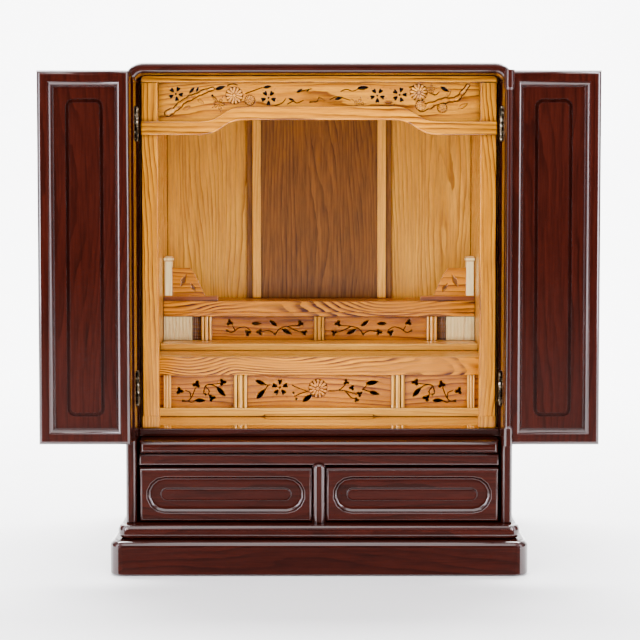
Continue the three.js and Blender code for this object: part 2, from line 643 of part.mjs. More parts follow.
function buildInterior() {
  const ceilingZ = OPENING_TOP - GAP - LINING;
  const fit = OPENING - GAP;
  const liningY = FRONT + POST_SETBACK + POST_DEPTH + GAP;
  const liningEnd = BACK_Y + LINING;
  const sillEnd = FRONT + SILL_SETBACK + SILL_DEPTH;
  const floorBottom = TRAY_TOP + RUN;
  place('sill', block(-fit, fit, FRONT + SILL_SETBACK, sillEnd, floorBottom, FLOOR_Z), ROSEWOOD);
  place('inner_floor', block(-fit, fit, sillEnd + GAP, liningEnd, floorBottom, FLOOR_Z), GOLD_WOOD);
  place('ceiling', withinCase(block(-fit, fit, liningY, liningEnd, ceilingZ, OPENING_TOP - GAP)), GOLD_WOOD);
  for (const [side, sign] of [['left', -1], ['right', 1]]) {
    const span = (inner, outer) => (sign > 0 ? [inner, outer] : [-outer, -inner]);
    place(`lining_${side}`, withinCase(block(...span(WALL, fit), liningY, liningEnd, FLOOR_Z + GAP, ceilingZ - GAP)),
      GOLD_WOOD);

    const postEdge = OPENING - POST_MARGIN;
    const postY = FRONT + POST_SETBACK;
    const edge = [[0, POST_DEPTH], [0, 1.4], [0.4, 0.4], [1.4, 0]];
    const post = loft(faceLoops(...span(postEdge - POST_WIDTH, postEdge), FLOOR_Z + GAP, STRIP_Z - GAP, postY, 1, edge));
    const foot = block(...span(postEdge - POST_WIDTH - POST_BLOCK_PROUD / 2, postEdge), postY - POST_BLOCK_PROUD,
      postY + POST_DEPTH - 1, FLOOR_Z + GAP, FLOOR_Z + GAP + POST_BLOCK_H);
    place(`front_post_${side}`, joined([post, foot]), GOLD_WOOD);

    const centreFace = BACK_Y - GAP - CENTRE_BOARD_PROUD;
    place(`pilaster_${side}`, block(...span(PILASTER_INNER, PILASTER_INNER + PILASTER_WIDTH),
      centreFace - GAP - PILASTER_PROUD, centreFace - GAP, TIER_TOP + GAP, ceilingZ - GAP), GOLD_WOOD);
  }
  place('back_lining', block(-WALL + GAP, WALL - GAP, BACK_Y, liningEnd, FLOOR_Z + GAP, ceilingZ - GAP), GOLD_WOOD);
  place('centre_board', block(-CENTRE_BOARD_WIDTH / 2, CENTRE_BOARD_WIDTH / 2, BACK_Y - GAP - CENTRE_BOARD_PROUD,
    BACK_Y - GAP, TIER_TOP + GAP, ceilingZ - GAP), BROWN_WOOD);
  const stripEdge = OPENING - POST_MARGIN;
  place('top_strip', withinCase(block(-stripEdge, stripEdge, FRONT + POST_SETBACK, FRONT + POST_SETBACK + POST_DEPTH,
    STRIP_Z, OPENING_TOP - GAP)), GOLD_WOOD);
  place('arched_beam', slab(beamShape(stripEdge), FRONT + BEAM_SETBACK, BEAM_BOARD, 8), GOLD_WOOD);
}

// Draws one edge of the beam from one end to the other, level with an S-curve up to its middle part
function beamEdge(shape, base, direction, halfWidth) {
  const turn = (BEAM_CURVE_OUTER + BEAM_CURVE_INNER) / 2;
  const high = base + BEAM_RISE;
  shape.lineTo(-direction * BEAM_CURVE_OUTER, base);
  shape.bezierCurveTo(-direction * turn, base, -direction * turn, high, -direction * BEAM_CURVE_INNER, high);
  shape.lineTo(direction * BEAM_CURVE_INNER, high);
  shape.bezierCurveTo(direction * turn, high, direction * turn, base, direction * BEAM_CURVE_OUTER, base);
  shape.lineTo(direction * halfWidth, base);
}

function beamShape(halfWidth) {
  const low = OPENING_TOP - BEAM_END_DROP;
  const shape = new THREE.Shape();
  shape.moveTo(-halfWidth, low);
  beamEdge(shape, low, 1, halfWidth);
  shape.lineTo(halfWidth, low + BEAM_H);
  beamEdge(shape, low + BEAM_H, -1, halfWidth);
  return shape;
}

// Carving. A motif is [kind, across, up, size, angle in degrees], measured from the middle of a
// panel's visible lower edge, where the panel is as wide as the carving's own width. A stem or a branch
// is a run of such places.

function closedShape(points) {
  return new THREE.Shape(points.map(([x, z]) => new THREE.Vector2(x, z)));
}

function lobedShape(radius, lobes, depth, steps) {
  const points = [];
  for (let i = 0; i < lobes * steps; i += 1) {
    const angle = i / (lobes * steps) * Math.PI * 2;
    const reach = radius * (1 - depth + depth * Math.abs(Math.cos(lobes * angle / 2)));
    points.push([reach * Math.sin(angle), reach * Math.cos(angle)]);
  }
  return closedShape(points.reverse());
}

function leafShape(length) {
  const [half, wide] = [length / 2, length * 0.36];
  const shape = new THREE.Shape();
  shape.moveTo(-half, 0);
  shape.quadraticCurveTo(-half * 0.2, -wide, half, 0);
  shape.quadraticCurveTo(-half * 0.2, wide, -half, 0);
  return shape;
}

// One notched petal of a flower of the given radius, turned about the flower's middle
function petalShape(radius, turn) {
  const outline = [[0, 0.34], [0.26, 0.8], [0.14, 1], [0, 0.84], [-0.14, 1], [-0.26, 0.8]];
  const [sin, cos] = [Math.sin(turn), Math.cos(turn)];
  return closedShape(outline.map(([x, z]) => [radius * (x * cos + z * sin), radius * (z * cos - x * sin)]));
}

function petals(radius, count) {
  return Array.from({ length: count }, (_, i) => petalShape(radius, (i + 0.5) / count * Math.PI * 2));
}

const MOTIFS = {
  blossom: { pierced: true, shapes: (size) => [...petals(size, 5), lobedShape(size * 0.13, 4, 0, 1)] },
  trefoil: { pierced: true, shapes: (size) => [lobedShape(size, 3, 0.6, 2)] },
  leaf: { pierced: true, shapes: (size) => [leafShape(size)] },
  dot: { pierced: true, shapes: (size) => [lobedShape(size, 5, 0, 1)] },
  bloom: { rise: BLOOM_RISE, shapes: (size) => [lobedShape(size, 9, 0.16, 2)] },
  raised_leaf: { rise: LEAF_RISE, shapes: (size) => [leafShape(size)] },
};

// A shape in x and z from y0 to y1, turned about its own middle and moved to its place
function motifSolid(shape, y0, y1, degrees, x, z) {
  return slab(shape, y0, y1 - y0, 2).rotateY(-degrees * Math.PI / 180).translate(x, 0, z);
}

function motifSolids([kind, across, up, size, degrees], middle, face) {
  const { pierced, rise, shapes } = MOTIFS[kind];
  const [y0, y1] = pierced ? [-1, ROW_BOARD + 1] : [-rise, 0.5];
  const [x, z] = [middle.x + across * middle.scale, middle.z + up * middle.scale];
  return shapes(size * middle.scale).map((shape) => (
    motifSolid(shape, y0, y1, degrees, x, z).translate(0, face, 0)));
}

// A tapering band from y0 to y1 that follows a curve through the given places
function bandSolid(places, width, y0, y1, middle, face) {
  const curve = new THREE.SplineCurve(places.map(([x, z]) => new THREE.Vector2(x, z).multiplyScalar(middle.scale)));
  const count = places.length;
  const sides = [[], []];
  for (let i = 0; i <= count; i += 1) {
    const at = curve.getPoint(i / count);
    const along = curve.getTangent(i / count);
    const half = width / 2 * (1 - 0.5 * i / count);
    sides[0].unshift([at.x - along.y * half, at.y + along.x * half]);
    sides[1].push([at.x + along.y * half, at.y - along.x * half]);
  }
  return slab(closedShape(sides.flat()), y0, y1 - y0).translate(middle.x, face, middle.z);
}

// Joins the raised motifs and branches to a board, engraves the stems and cuts the pierced motifs through
function carve(board, { width, motifs, stems, branches = [] }, { x, z, span }, face) {
  const middle = { x, z, scale: span / width };
  const solids = (pierced) => motifs.filter(([kind]) => Boolean(MOTIFS[kind].pierced) === pierced)
    .flatMap((motif) => motifSolids(motif, middle, face));
  const raised = branches.map((run) => bandSolid(run, BRANCH_WIDTH, -BRANCH_RISE, 0.5, middle, face));
  const grooves = stems.map((run) => bandSolid(run, STEM_WIDTH, -1, STEM_DEPTH, middle, face));
  return cut(joined([cut(board, grooves), ...raised, ...solids(false)]), solids(true));
}

const LOWER_SIDE = {
  width: 83.5,
  motifs: [['trefoil', -24, 19, 4.4, 20], ['trefoil', -4.4, 26.6, 4.6, -15], ['trefoil', 25.5, 29, 4.4, 30],
    ['trefoil', 13, 10.8, 4.4, 160], ['leaf', -0.4, 8, 12.5, 0], ['leaf', 23.7, 18, 15, -48],
    ['dot', 6, 15, 1.3, 0], ['dot', -20, 7.6, 1.4, 0]],
  stems: [[[-20, 7.6], [-14, 7.6], [-9.5, 13], [-5.5, 23]], [[-11, 11], [-12, 17], [-17, 19.5]],
    [[4, 19], [6, 25], [12, 26.5], [24, 28]], [[4, 19], [3.6, 16.4], [6, 15]], [[-14, 7], [-10, 6], [-5, 8]]],
};
const LOWER_CENTRE = {
  width: 180,
  motifs: [['leaf', -67.3, 28.7, 13, -22], ['leaf', -66.7, 15.4, 15, 50], ['blossom', -44.9, 23, 9.8, 36],
    ['bloom', -1.3, 22, 10.8, 0], ['leaf', -13, 11, 15, 38], ['leaf', 60.8, 28.4, 15, 10],
    ['leaf', 63.3, 16.5, 12.5, -15], ['trefoil', 31, 29, 3.6, 10], ['trefoil', 37.5, 22.6, 3.4, -30],
    ['trefoil', 46.5, 15.4, 3.6, 60], ['trefoil', 43, 8.6, 3, 140], ['dot', -29.6, 16.8, 1.3, 0],
    ['dot', -26.2, 9.8, 1.3, 0]],
  stems: [[[-30.8, 25.6], [-22, 21.5], [-12, 18.4]], [[-27.8, 13.1], [-20, 16.4], [-13, 18.6]],
    [[10.5, 18.8], [22.2, 19.9], [30, 26]], [[22.2, 19.9], [32, 18.5], [43, 15]],
    [[-62, 20], [-59, 25]], [[-63, 26.5], [-57, 25.4]], [[50, 21], [55, 25.5]], [[50, 21], [58, 18]]],
};
const UPPER_SIDE = {
  width: 136.5,
  motifs: [['trefoil', -40.5, 20.8, 4.2, 10], ['trefoil', -18.5, 8.5, 4.2, 170], ['trefoil', -4.5, 9.2, 4, 90],
    ['trefoil', 45.4, 19.7, 4.2, 20], ['trefoil', 50.2, 8.5, 3.8, 70], ['leaf', -8.1, 19.7, 12, 0],
    ['leaf', 12.6, 20, 12, -38], ['leaf', 28.9, 9.9, 14, -28], ['dot', -44, 11, 1.3, 0], ['dot', 14.6, 6.6, 1.3, 0]],
  stems: [[[-44, 11], [-38, 9], [-30, 14], [-22, 15.5], [-16, 12]], [[-34, 11.5], [-37, 17]],
    [[-2, 10], [6, 11], [11, 9.5], [14.6, 6.6]], [[14.6, 6.6], [20, 13], [28, 16], [42, 17.5]],
    [[30, 16], [38, 12], [47, 9]]],
};
const TRANSOM_CARVING = {
  width: 346.2,
  motifs: [['blossom', -155, 19, 8.4, 10], ['leaf', -106.8, 25.5, 12, 18], ['leaf', -137.5, 23, 9, 50],
    ['leaf', -131.5, 24, 7, 70], ['raised_leaf', -108.4, 8.6, 12, -10], ['bloom', -91.6, 17.3, 9.4, 0],
    ['leaf', -56, 26.6, 9.5, 10], ['bloom', -74.8, 12, 5.4, 0], ['blossom', -54.7, 14.8, 8.6, 0],
    ['leaf', -21, 22.5, 8, 30], ['leaf', 21, 14, 9, 15], ['leaf', 47.6, 25.5, 13, 5],
    ['blossom', 63.1, 17.4, 8.4, 0], ['blossom', 87.2, 18, 8.4, 20], ['raised_leaf', 75.1, 9.8, 10, 0],
    ['bloom', 107.8, 20.4, 9.4, 0], ['bloom', 110, 6.5, 5.5, 0], ['leaf', 136, 24, 11, -30],
    ['bloom', 133.2, 3.6, 5, 0], ['raised_leaf', 156, 6, 11, 30], ['dot', -115.5, 17.3, 1.2, 0]],
  stems: [[[-79.1, 19.5], [-68, 23.5], [-61, 26]], [[-115.5, 17.3], [-111, 13.5]],
    [[-20, 22], [-8, 24.5]], [[-10, 10], [-2, 11], [0, 15], [6, 12]], [[12, 13], [20, 16], [34, 12]]],
  branches: [[[-164, -2], [-155, 3], [-147, 10.5], [-135, 16.5], [-124, 21.5], [-115, 24.5]],
    [[111, 3], [132, 11], [148, 13.5], [155, 20], [161, 28]]],
};

// The same carving, left and right exchanged; every motif is symmetric about its own upright
function mirroredCarving({ width, motifs, stems }) {
  return {
    width,
    motifs: motifs.map(([kind, across, up, size, degrees]) => [kind, -across, up, size, -degrees]),
    stems: stems.map((stem) => stem.map(([x, z]) => [-x, z])),
  };
}

// A board that stands on its lower edge at z0, carved on its front face
function carvedPanel(x0, x1, z0, z1, face, carving, carvingPlace) {
  return carve(block(x0, x1, face, face + ROW_BOARD, z0, z1), carving, carvingPlace, face);
}

// Tiers and their rows of panels and columns

// Reeds side by side, as shares of a column's width
const REEDS = [0.3, 0.4, 0.3];

function column(middle, width, faceY, depth, z0, z1) {
  const points = [[middle + width / 2, faceY + depth], [middle - width / 2, faceY + depth]];
  let start = middle - width / 2;
  const rootY = faceY + width * Math.max(...REEDS) / 2;
  for (const share of REEDS) {
    const radius = share * width / 2;
    for (let i = 0; i < 5; i += 1) {
      const angle = i / 4 * Math.PI;
      if (i > 0 || start === middle - width / 2) {
        points.push([start + radius - radius * Math.cos(angle), rootY - radius * Math.sin(angle)]);
      }
    }
    start += share * width;
  }
  return loft([z0, z1].map((z) => points.map(([x, y]) => new THREE.Vector3(x, y, z))));
}

function buildLowerTier() {
  const edge = WALL - GAP;
  const face = FRONT + ROW1_SETBACK;
  const apronY = FRONT + APRON_SETBACK;
  const apronTop = LOWER_STEP_TOP - GAP;
  const stepZ = LOWER_STEP_TOP - STEP_BOARD;
  const columnY = face - GAP - COLUMN_DEPTH;
  const railTop = FLOOR_Z + GAP + BOTTOM_RAIL_H;
  const apronBottom = LOWER_STEP_TOP - APRON_H;

  place('apron', block(-edge, edge, apronY, apronY + APRON_BOARD, apronBottom, apronTop), GOLD_WOOD);
  place('lower_step', block(-edge, edge, apronY + APRON_BOARD + GAP, BACK_Y - GAP, stepZ, LOWER_STEP_TOP), GOLD_WOOD);

  const archInner = ROW1_COLUMN_AT * 0.55;
  const archOuter = ROW1_COLUMN_AT * 0.85;
  const z0 = FLOOR_Z + GAP;
  const rail = new THREE.Shape();
  rail.moveTo(-edge, z0);
  rail.lineTo(-archOuter, z0);
  rail.bezierCurveTo(-archInner, z0, -archOuter, z0 + BOTTOM_RAIL_ARCH, -archInner, z0 + BOTTOM_RAIL_ARCH);
  rail.lineTo(archInner, z0 + BOTTOM_RAIL_ARCH);
  rail.bezierCurveTo(archOuter, z0 + BOTTOM_RAIL_ARCH, archInner, z0, archOuter, z0);
  rail.lineTo(edge, z0);
  rail.lineTo(edge, railTop);
  rail.lineTo(-edge, railTop);
  place('bottom_rail', slab(rail, columnY, COLUMN_DEPTH), GOLD_WOOD);

  [-ROW1_END_X, -ROW1_COLUMN_AT, ROW1_COLUMN_AT, ROW1_END_X].forEach((middle, i) => {
    const width = i % 3 === 0 ? ROW1_END_COLUMN : ROW1_COLUMN;
    place(`lower_column_${i + 1}`, column(middle, width, columnY, COLUMN_DEPTH, railTop + GAP, apronBottom - GAP),
      GOLD_WOOD);
  });

  const panelTop = stepZ - GAP;
  const joint = ROW1_COLUMN_AT + GAP / 2;
  const sideX = WALL - ROW1_SIDE_MARGIN;
  const sideSpan = ROW1_END_X - ROW1_COLUMN_AT;
  place('lower_panel_centre', carvedPanel(-joint + GAP, joint - GAP, z0, panelTop, face, LOWER_CENTRE,
    { x: 0, z: railTop, span: 2 * ROW1_COLUMN_AT }), GOLD_WOOD);
  place('lower_panel_left', carvedPanel(-edge, -joint, z0, panelTop, face, LOWER_SIDE,
    { x: -sideX, z: railTop, span: sideSpan }), GOLD_WOOD);
  place('lower_panel_right', carvedPanel(joint, edge, z0, panelTop, face, mirroredCarving(LOWER_SIDE),
    { x: sideX, z: railTop, span: sideSpan }), GOLD_WOOD);
}

function buildUpperTier() {
  const edge = WALL - GAP;
  const face = BACK_Y - ROW2_DEPTH;
  const stepZ = LOWER_STEP_TOP + GAP;
  const tierZ = TIER_TOP - TIER_H;
  const rowZ = UPPER_STEP_TOP + GAP;
  const rowTop = tierZ - GAP;
  const columnY = face - GAP - COLUMN_DEPTH;
  place('upper_step', block(-edge, edge, BACK_Y - UPPER_STEP_DEPTH, BACK_Y - GAP, stepZ, UPPER_STEP_TOP), GOLD_WOOD);

  [-ROW2_COLUMN_X, 0, ROW2_COLUMN_X].forEach((middle, i) => {
    place(`upper_column_${i + 1}`, column(middle, ROW2_COLUMN, columnY, COLUMN_DEPTH, rowZ, rowTop), GOLD_WOOD);
  });
  const ribbedInner = edge - RIBBED_WIDTH;
  const outer = ribbedInner - GAP;
  const joint = GAP / 2;
  place('upper_panel_left', carvedPanel(-outer, -joint, rowZ, rowTop, face, UPPER_SIDE,
    { x: -ROW2_COLUMN_X / 2, z: rowZ, span: ROW2_COLUMN_X }), GOLD_WOOD);
  place('upper_panel_right', carvedPanel(joint, outer, rowZ, rowTop, face, mirroredCarving(UPPER_SIDE),
    { x: ROW2_COLUMN_X / 2, z: rowZ, span: ROW2_COLUMN_X }), GOLD_WOOD);

  const ribFace = columnY;
  const ribs = Math.floor(RIBBED_WIDTH / RIB_PITCH);
  const pitch = RIBBED_WIDTH / ribs;
  const outline = [[edge, ribFace + RIBBED_DEPTH], [ribbedInner, ribFace + RIBBED_DEPTH]];
  for (let i = 0; i <= ribs; i += 1) {
    outline.push([ribbedInner + i * pitch, ribFace + pitch / 2]);
    if (i < ribs) outline.push([ribbedInner + (i + 0.5) * pitch, ribFace]);
  }
  const ribbed = loft([rowZ, rowTop].map((z) => outline.map(([x, y]) => new THREE.Vector3(x, y, z))));
  place('ribbed_block_right', ribbed, PALE_WOOD);
  place('ribbed_block_left', mirrored(ribbed), PALE_WOOD);

  const band = block(-edge, edge, TIER_Y, BACK_Y - GAP, tierZ + TIER_MOULDING_H, TIER_TOP);
  const moulding = block(-edge, edge, TIER_Y + TIER_MOULDING_BACK, BACK_Y - GAP, tierZ, tierZ + TIER_MOULDING_H + 1);
  place('top_tier', joined([band, moulding]), GOLD_WOOD);
}

// A newel at the wall and a low wing that slopes down, on a base strip
function buildRailings() {
  const edge = WALL - GAP;
  const face = TIER_Y + RAILING_SETBACK;
  const z0 = TIER_TOP + GAP;
  const stripTop = z0 + STRIP_H;
  const strip = block(edge - STRIP_LENGTH, edge, face, face + RAILING_DEPTH, z0, stripTop);
  const newelTop = z0 + NEWEL_H;
  const neckH = 1.4;
  const inset = 1;
  const newelInner = edge - NEWEL_WIDTH;
  const newel = block(newelInner + inset, edge - inset, face + inset, face + RAILING_DEPTH - inset,
    stripTop - 1, newelTop - NEWEL_CAP_H + neckH);
  const cap = [[0, 0], [0, 0.7], [0.12, 0.9], [0.3, 1]].map(([share, up]) => {
    const trim = share * RAILING_DEPTH;
    const z = newelTop - NEWEL_CAP_H + neckH + up * (NEWEL_CAP_H - neckH);
    return [[newelInner + trim, face + trim], [edge - trim, face + trim],
      [edge - trim, face + RAILING_DEPTH - trim], [newelInner + trim, face + RAILING_DEPTH - trim],
    ].map(([x, y]) => new THREE.Vector3(x, y, z));
  });
  const wingStart = newelInner + inset + 0.5;
  const wingEnd = newelInner - WING_LENGTH;
  const wingTop = stripTop + WING_H;
  const shape = new THREE.Shape();
  shape.moveTo(wingStart, stripTop - 0.5);
  shape.lineTo(wingStart, wingTop);
  shape.lineTo(wingEnd + WING_LENGTH * 0.48, wingTop);
  shape.bezierCurveTo(wingEnd + WING_LENGTH * 0.3, wingTop - WING_H * 0.2, wingEnd + WING_LENGTH * 0.14,
    wingTop - WING_H * 0.7, wingEnd, stripTop - 0.5);
  const wingY = face + (RAILING_DEPTH - WING_BOARD) / 2;
  const wing = slab(shape, wingY, WING_BOARD);
  const scroll = [[0.32, 0.55, 17, 115], [0.62, 0.3, 13, 60]].map(([along, up, length, degrees]) => (
    motifSolid(leafShape(length), wingY - 1, wingY + SCROLL_DEPTH, degrees,
      newelInner - along * WING_LENGTH, stripTop + up * WING_H)));
  const railing = joined([strip, newel, loft(cap), cut(wing, scroll)]);
  place('railing_right', railing, GOLD_WOOD);
  place('railing_left', mirrored(railing), GOLD_WOOD);
}

// The carved board over the beam, whose lower edge runs behind the middle of the beam
function buildTransom() {
  const halfWidth = OPENING - POST_MARGIN - POST_WIDTH - POST_BLOCK_PROUD;
  const top = STRIP_Z - GAP;
  const hidden = OPENING_TOP - BEAM_END_DROP + BEAM_H / 2;
  const face = FRONT + POST_SETBACK + TRANSOM_BACK;
  const shape = new THREE.Shape();
  shape.moveTo(-halfWidth, hidden);
  beamEdge(shape, hidden, 1, halfWidth);
  shape.lineTo(halfWidth, top);
  shape.lineTo(-halfWidth, top);
  const board = slab(shape, face, ROW_BOARD, 5);
  const middle = { x: 0, z: top - TRANSOM_CARVED_H, span: 2 * halfWidth };
  place('transom', carve(board, TRANSOM_CARVING, middle, face), GOLD_WOOD);
}

buildPlinth();
buildCase();
buildDrawerBay();
buildDoorPair('left');
buildDoorPair('right');
buildInterior();
buildTransom();
buildLowerTier();
buildUpperTier();
buildRailings();

export default cabinet;
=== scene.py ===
import json
import math

import bmesh
import bpy
import numpy as np
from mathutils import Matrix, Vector


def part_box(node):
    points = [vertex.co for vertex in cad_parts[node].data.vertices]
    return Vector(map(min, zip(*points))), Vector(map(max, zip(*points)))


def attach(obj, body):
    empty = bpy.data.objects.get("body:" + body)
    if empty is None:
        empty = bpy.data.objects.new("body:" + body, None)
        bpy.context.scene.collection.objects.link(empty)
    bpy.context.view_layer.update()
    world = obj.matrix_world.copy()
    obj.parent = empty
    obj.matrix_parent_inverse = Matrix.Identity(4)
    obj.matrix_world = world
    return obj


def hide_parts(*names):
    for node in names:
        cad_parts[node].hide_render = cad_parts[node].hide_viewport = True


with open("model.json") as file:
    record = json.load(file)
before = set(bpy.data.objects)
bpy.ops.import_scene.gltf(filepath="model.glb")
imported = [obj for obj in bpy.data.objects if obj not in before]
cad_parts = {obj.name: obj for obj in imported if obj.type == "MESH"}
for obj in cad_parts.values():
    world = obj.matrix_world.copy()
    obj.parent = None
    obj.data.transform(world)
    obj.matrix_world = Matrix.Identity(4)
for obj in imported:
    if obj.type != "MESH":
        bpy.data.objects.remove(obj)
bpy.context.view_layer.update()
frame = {"nodes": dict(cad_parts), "record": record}

# Sizes in metres that the frame doesn't state
MM = 0.001
CASE_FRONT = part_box("case_side_left")[0].y
CREASE_REACH = 7 * MM           # how far from a corner the painted shade reaches
LINING_EDGE = 1 * MM            # depth of the lining's front edge that is painted dark, as the shade in the gap beside the case
NEWEL_WIDTH = 11.8 * MM
STRIP_H = 6 * MM                # base strip of a railing
SCROLL_DEPTH = 2.6 * MM         # how far behind a railing's front the scroll is cut
LIP_HALF = 62 * MM              # half the length of the lip behind the bottom rail's hollow
LIP_H = 4 * MM
LIP_BEHIND = 1 * MM             # how far the lip stays behind the rail's front
LIP_BEFORE = 0.5 * MM           # and before its back

# Carved boards
ROW_BOARD = 4 * MM              # thickness
ROW_GRID = 0.42 * MM            # step of the mesh on the panels
TRANSOM_GRID = 0.5 * MM
LOWER_SIDE_AT = 136 * MM        # middle of the carving on a lower side panel
UPPER_PANEL_W = 136.5 * MM
TRANSOM_BAND = 31 * MM          # height of the carved band, from the transom's upper edge down
BEAM_OVERLAP = 7.4              # in millimetres, how far the beam hides the transom at its ends
BEAM_RISE, BEAM_OUTER, BEAM_INNER = 16.2, 128, 80   # in millimetres, the curve of its lower edge
LEAST_WOOD = 1.2 * MM           # left behind the deepest cut
HAIR = 0.02 * MM                # keeps a face from lying in another one

# Hinges
KNUCKLES = 5
BARREL_R = 2.4 * MM
PIN_SHARE = 0.72                # radius of a pin head, as a share of the barrel's
PIN_H = 1.6 * MM
PIN_BEVEL = 0.4 * MM
KNUCKLE_BEVEL = 0.2 * MM
KNUCKLE_GAP = 0.12 * MM
HINGE_PLATE = 0.9 * MM          # thickness
SCREW_R = 1.9 * MM
SCREWS_AT = (0.22, 0.78)        # shares of the hinge's length
STRAP_IN = 3 * MM               # how much the strap is shorter than the hinge at each end
STRAP_HALF = 0.5 * MM           # half its thickness
HINGE_EDGE = 0.12 * MM          # width of its rounded edges

# Camera, at the photograph's viewing angle
CAMERA_DISTANCE = 1.6
CAMERA_HEIGHT = 0.4086
CAMERA_SIDE = 0.001
CAMERA_TILT = math.radians(2.5)
CAMERA_LENS = 84.9
CAMERA_SHIFT = -0.10

BODY_OF = {node: body for body, nodes in frame["record"]["behaviour"]["bodies"].items() for node in nodes}
SLOT_OF = {row["node"]: row["material_slot"] for row in frame["record"]["subparts"]}


# Materials

class Nodes:
    """Short calls for building one material's node tree."""

    def __init__(self, name):
        self.material = bpy.data.materials.new(name)
        self.material.use_nodes = True
        self.tree = self.material.node_tree
        self.shader = self.tree.nodes["Principled BSDF"]

    def add(self, kind, inputs=None, **settings):
        node = self.tree.nodes.new(kind)
        for key, value in settings.items():
            setattr(node, key, value)
        for key, value in (inputs or {}).items():
            self.put(node.inputs[key], value)
        return node

    def put(self, socket, value):
        if isinstance(value, bpy.types.NodeSocket):
            self.tree.links.new(value, socket)
        else:
            socket.default_value = value

    def math(self, operation, a, b=0.0):
        return self.add("ShaderNodeMath", {0: a, 1: b}, operation=operation).outputs[0]

    def noise(self, vector, scale, detail=2.0, roughness=0.5, distortion=0.0):
        return self.add("ShaderNodeTexNoise", {"Vector": vector, "Scale": scale, "Detail": detail,
                        "Roughness": roughness, "Distortion": distortion}).outputs["Fac"]

    def ramp(self, value, stops):
        node = self.add("ShaderNodeValToRGB", {"Fac": value})
        ramp = node.color_ramp
        while len(ramp.elements) < len(stops):
            ramp.elements.new(0.5)
        for element, (position, colour) in zip(ramp.elements, stops):
            element.position = position
            element.color = (*colour, 1.0)
        return node.outputs["Color"]

    def mix(self, share, a, b, blend="MIX"):
        node = self.add("ShaderNodeMix", data_type="RGBA", blend_type=blend)
        self.put(node.inputs[0], share)
        self.put(node.inputs[6], a)
        self.put(node.inputs[7], b)
        return node.outputs[2]

    def stretched(self, axis, along, across):
        """The place on the piece, in metres, drawn out along the grain and shifted from piece to piece."""
        place = self.add("ShaderNodeTexCoord").outputs["Object"]
        own = self.add("ShaderNodeObjectInfo").outputs["Random"]
        shift = self.add("ShaderNodeVectorMath", {0: place}, operation="ADD")
        spread = self.add("ShaderNodeCombineXYZ", {"X": own, "Y": self.math("MULTIPLY", own, 7.3),
                          "Z": self.math("MULTIPLY", own, 3.1)}).outputs[0]
        self.put(shift.inputs[1], spread)
        scale = [across, across, across]
        scale["xyz".index(axis)] = along
        return self.add("ShaderNodeMapping", {"Vector": shift.outputs[0], "Scale": scale}).outputs[0]


def rgb(*parts):
    """An sRGB colour of 0 to 255 as the linear colour that a shader takes."""
    return tuple(((c / 255 + 0.055) / 1.055) ** 2.4 if c > 10 else c / 255 / 12.92 for c in parts)


def growth_lines(n, axis, palette, grain):
    """Contours of a slope and a drawn-out noise: their colour, and the place across each line from 0 to 1."""
    pitch, swirl, depth, dark_from, wave = grain
    dark, mid, light = palette
    sweep = n.noise(n.stretched(axis, wave, 15), 1.0, detail=1.5, roughness=0.45, distortion=0.25)
    waver = n.noise(n.stretched(axis, 26, 120), 1.0)
    split = n.add("ShaderNodeSeparateXYZ", {0: n.stretched(axis, 1.0, 1.0)})
    across = [split.outputs[i] for i in range(3) if "xyz"[i] != axis]
    slope = n.math("MULTIPLY", n.math("ADD", across[0], n.math("MULTIPLY", across[1], 0.83)), 1 / pitch)
    contour = n.math("ADD", slope, n.math("MULTIPLY", sweep, swirl))
    lines = n.math("FRACT", n.math("ADD", contour, n.math("MULTIPLY", waver, 0.7)))
    rings = n.ramp(lines, [(0.0, light), (0.3, light), (dark_from - 0.16, mid), (dark_from, dark),
                           (0.95, dark), (1.0, light)])
    spread = n.noise(n.stretched(axis, 9, 110), 1.0, detail=3)
    strength = n.ramp(spread, [(0.36, (depth * 0.15,) * 3), (0.6, (depth,) * 3)])
    between = (*[0.5 * (a + b) for a, b in zip(mid, light)], 1.0)
    return n.mix(strength, between, rings), lines


def add_fibres(n, axis, colour, dark, fibre):
    """Fine dark threads and pores over a colour."""
    streaks = n.noise(n.stretched(axis, 24, 430), 1.0, detail=4, roughness=0.65)
    threads = n.add("ShaderNodeMapRange", {"Value": streaks, "From Min": 0.42, "From Max": 0.7}).outputs[0]
    pores = n.noise(n.stretched(axis, 90, 2600), 1.0, detail=1)
    colour = n.mix(n.math("MULTIPLY", threads, fibre), colour, (*dark, 1.0))
    speck = n.math("MULTIPLY", n.math("GREATER_THAN", pores, 0.66), 0.2)
    return n.mix(speck, colour, (*[c * 0.55 for c in dark], 1.0)), threads


def vary_tone(n, axis, colour):
    """Lighter and darker patches, and a slightly different tone from piece to piece."""
    patches = n.noise(n.stretched(axis, 5, 24), 1.0)
    tone = n.ramp(patches, [(0.3, (0.86, 0.83, 0.8)), (0.7, (1.08, 1.08, 1.06))])
    own = n.add("ShaderNodeObjectInfo").outputs["Random"]
    own_tone = n.ramp(own, [(0.0, (0.93, 0.92, 0.9)), (1.0, (1.05, 1.05, 1.04))])
    return n.mix(1.0, n.mix(1.0, colour, tone, "MULTIPLY"), own_tone, "MULTIPLY")


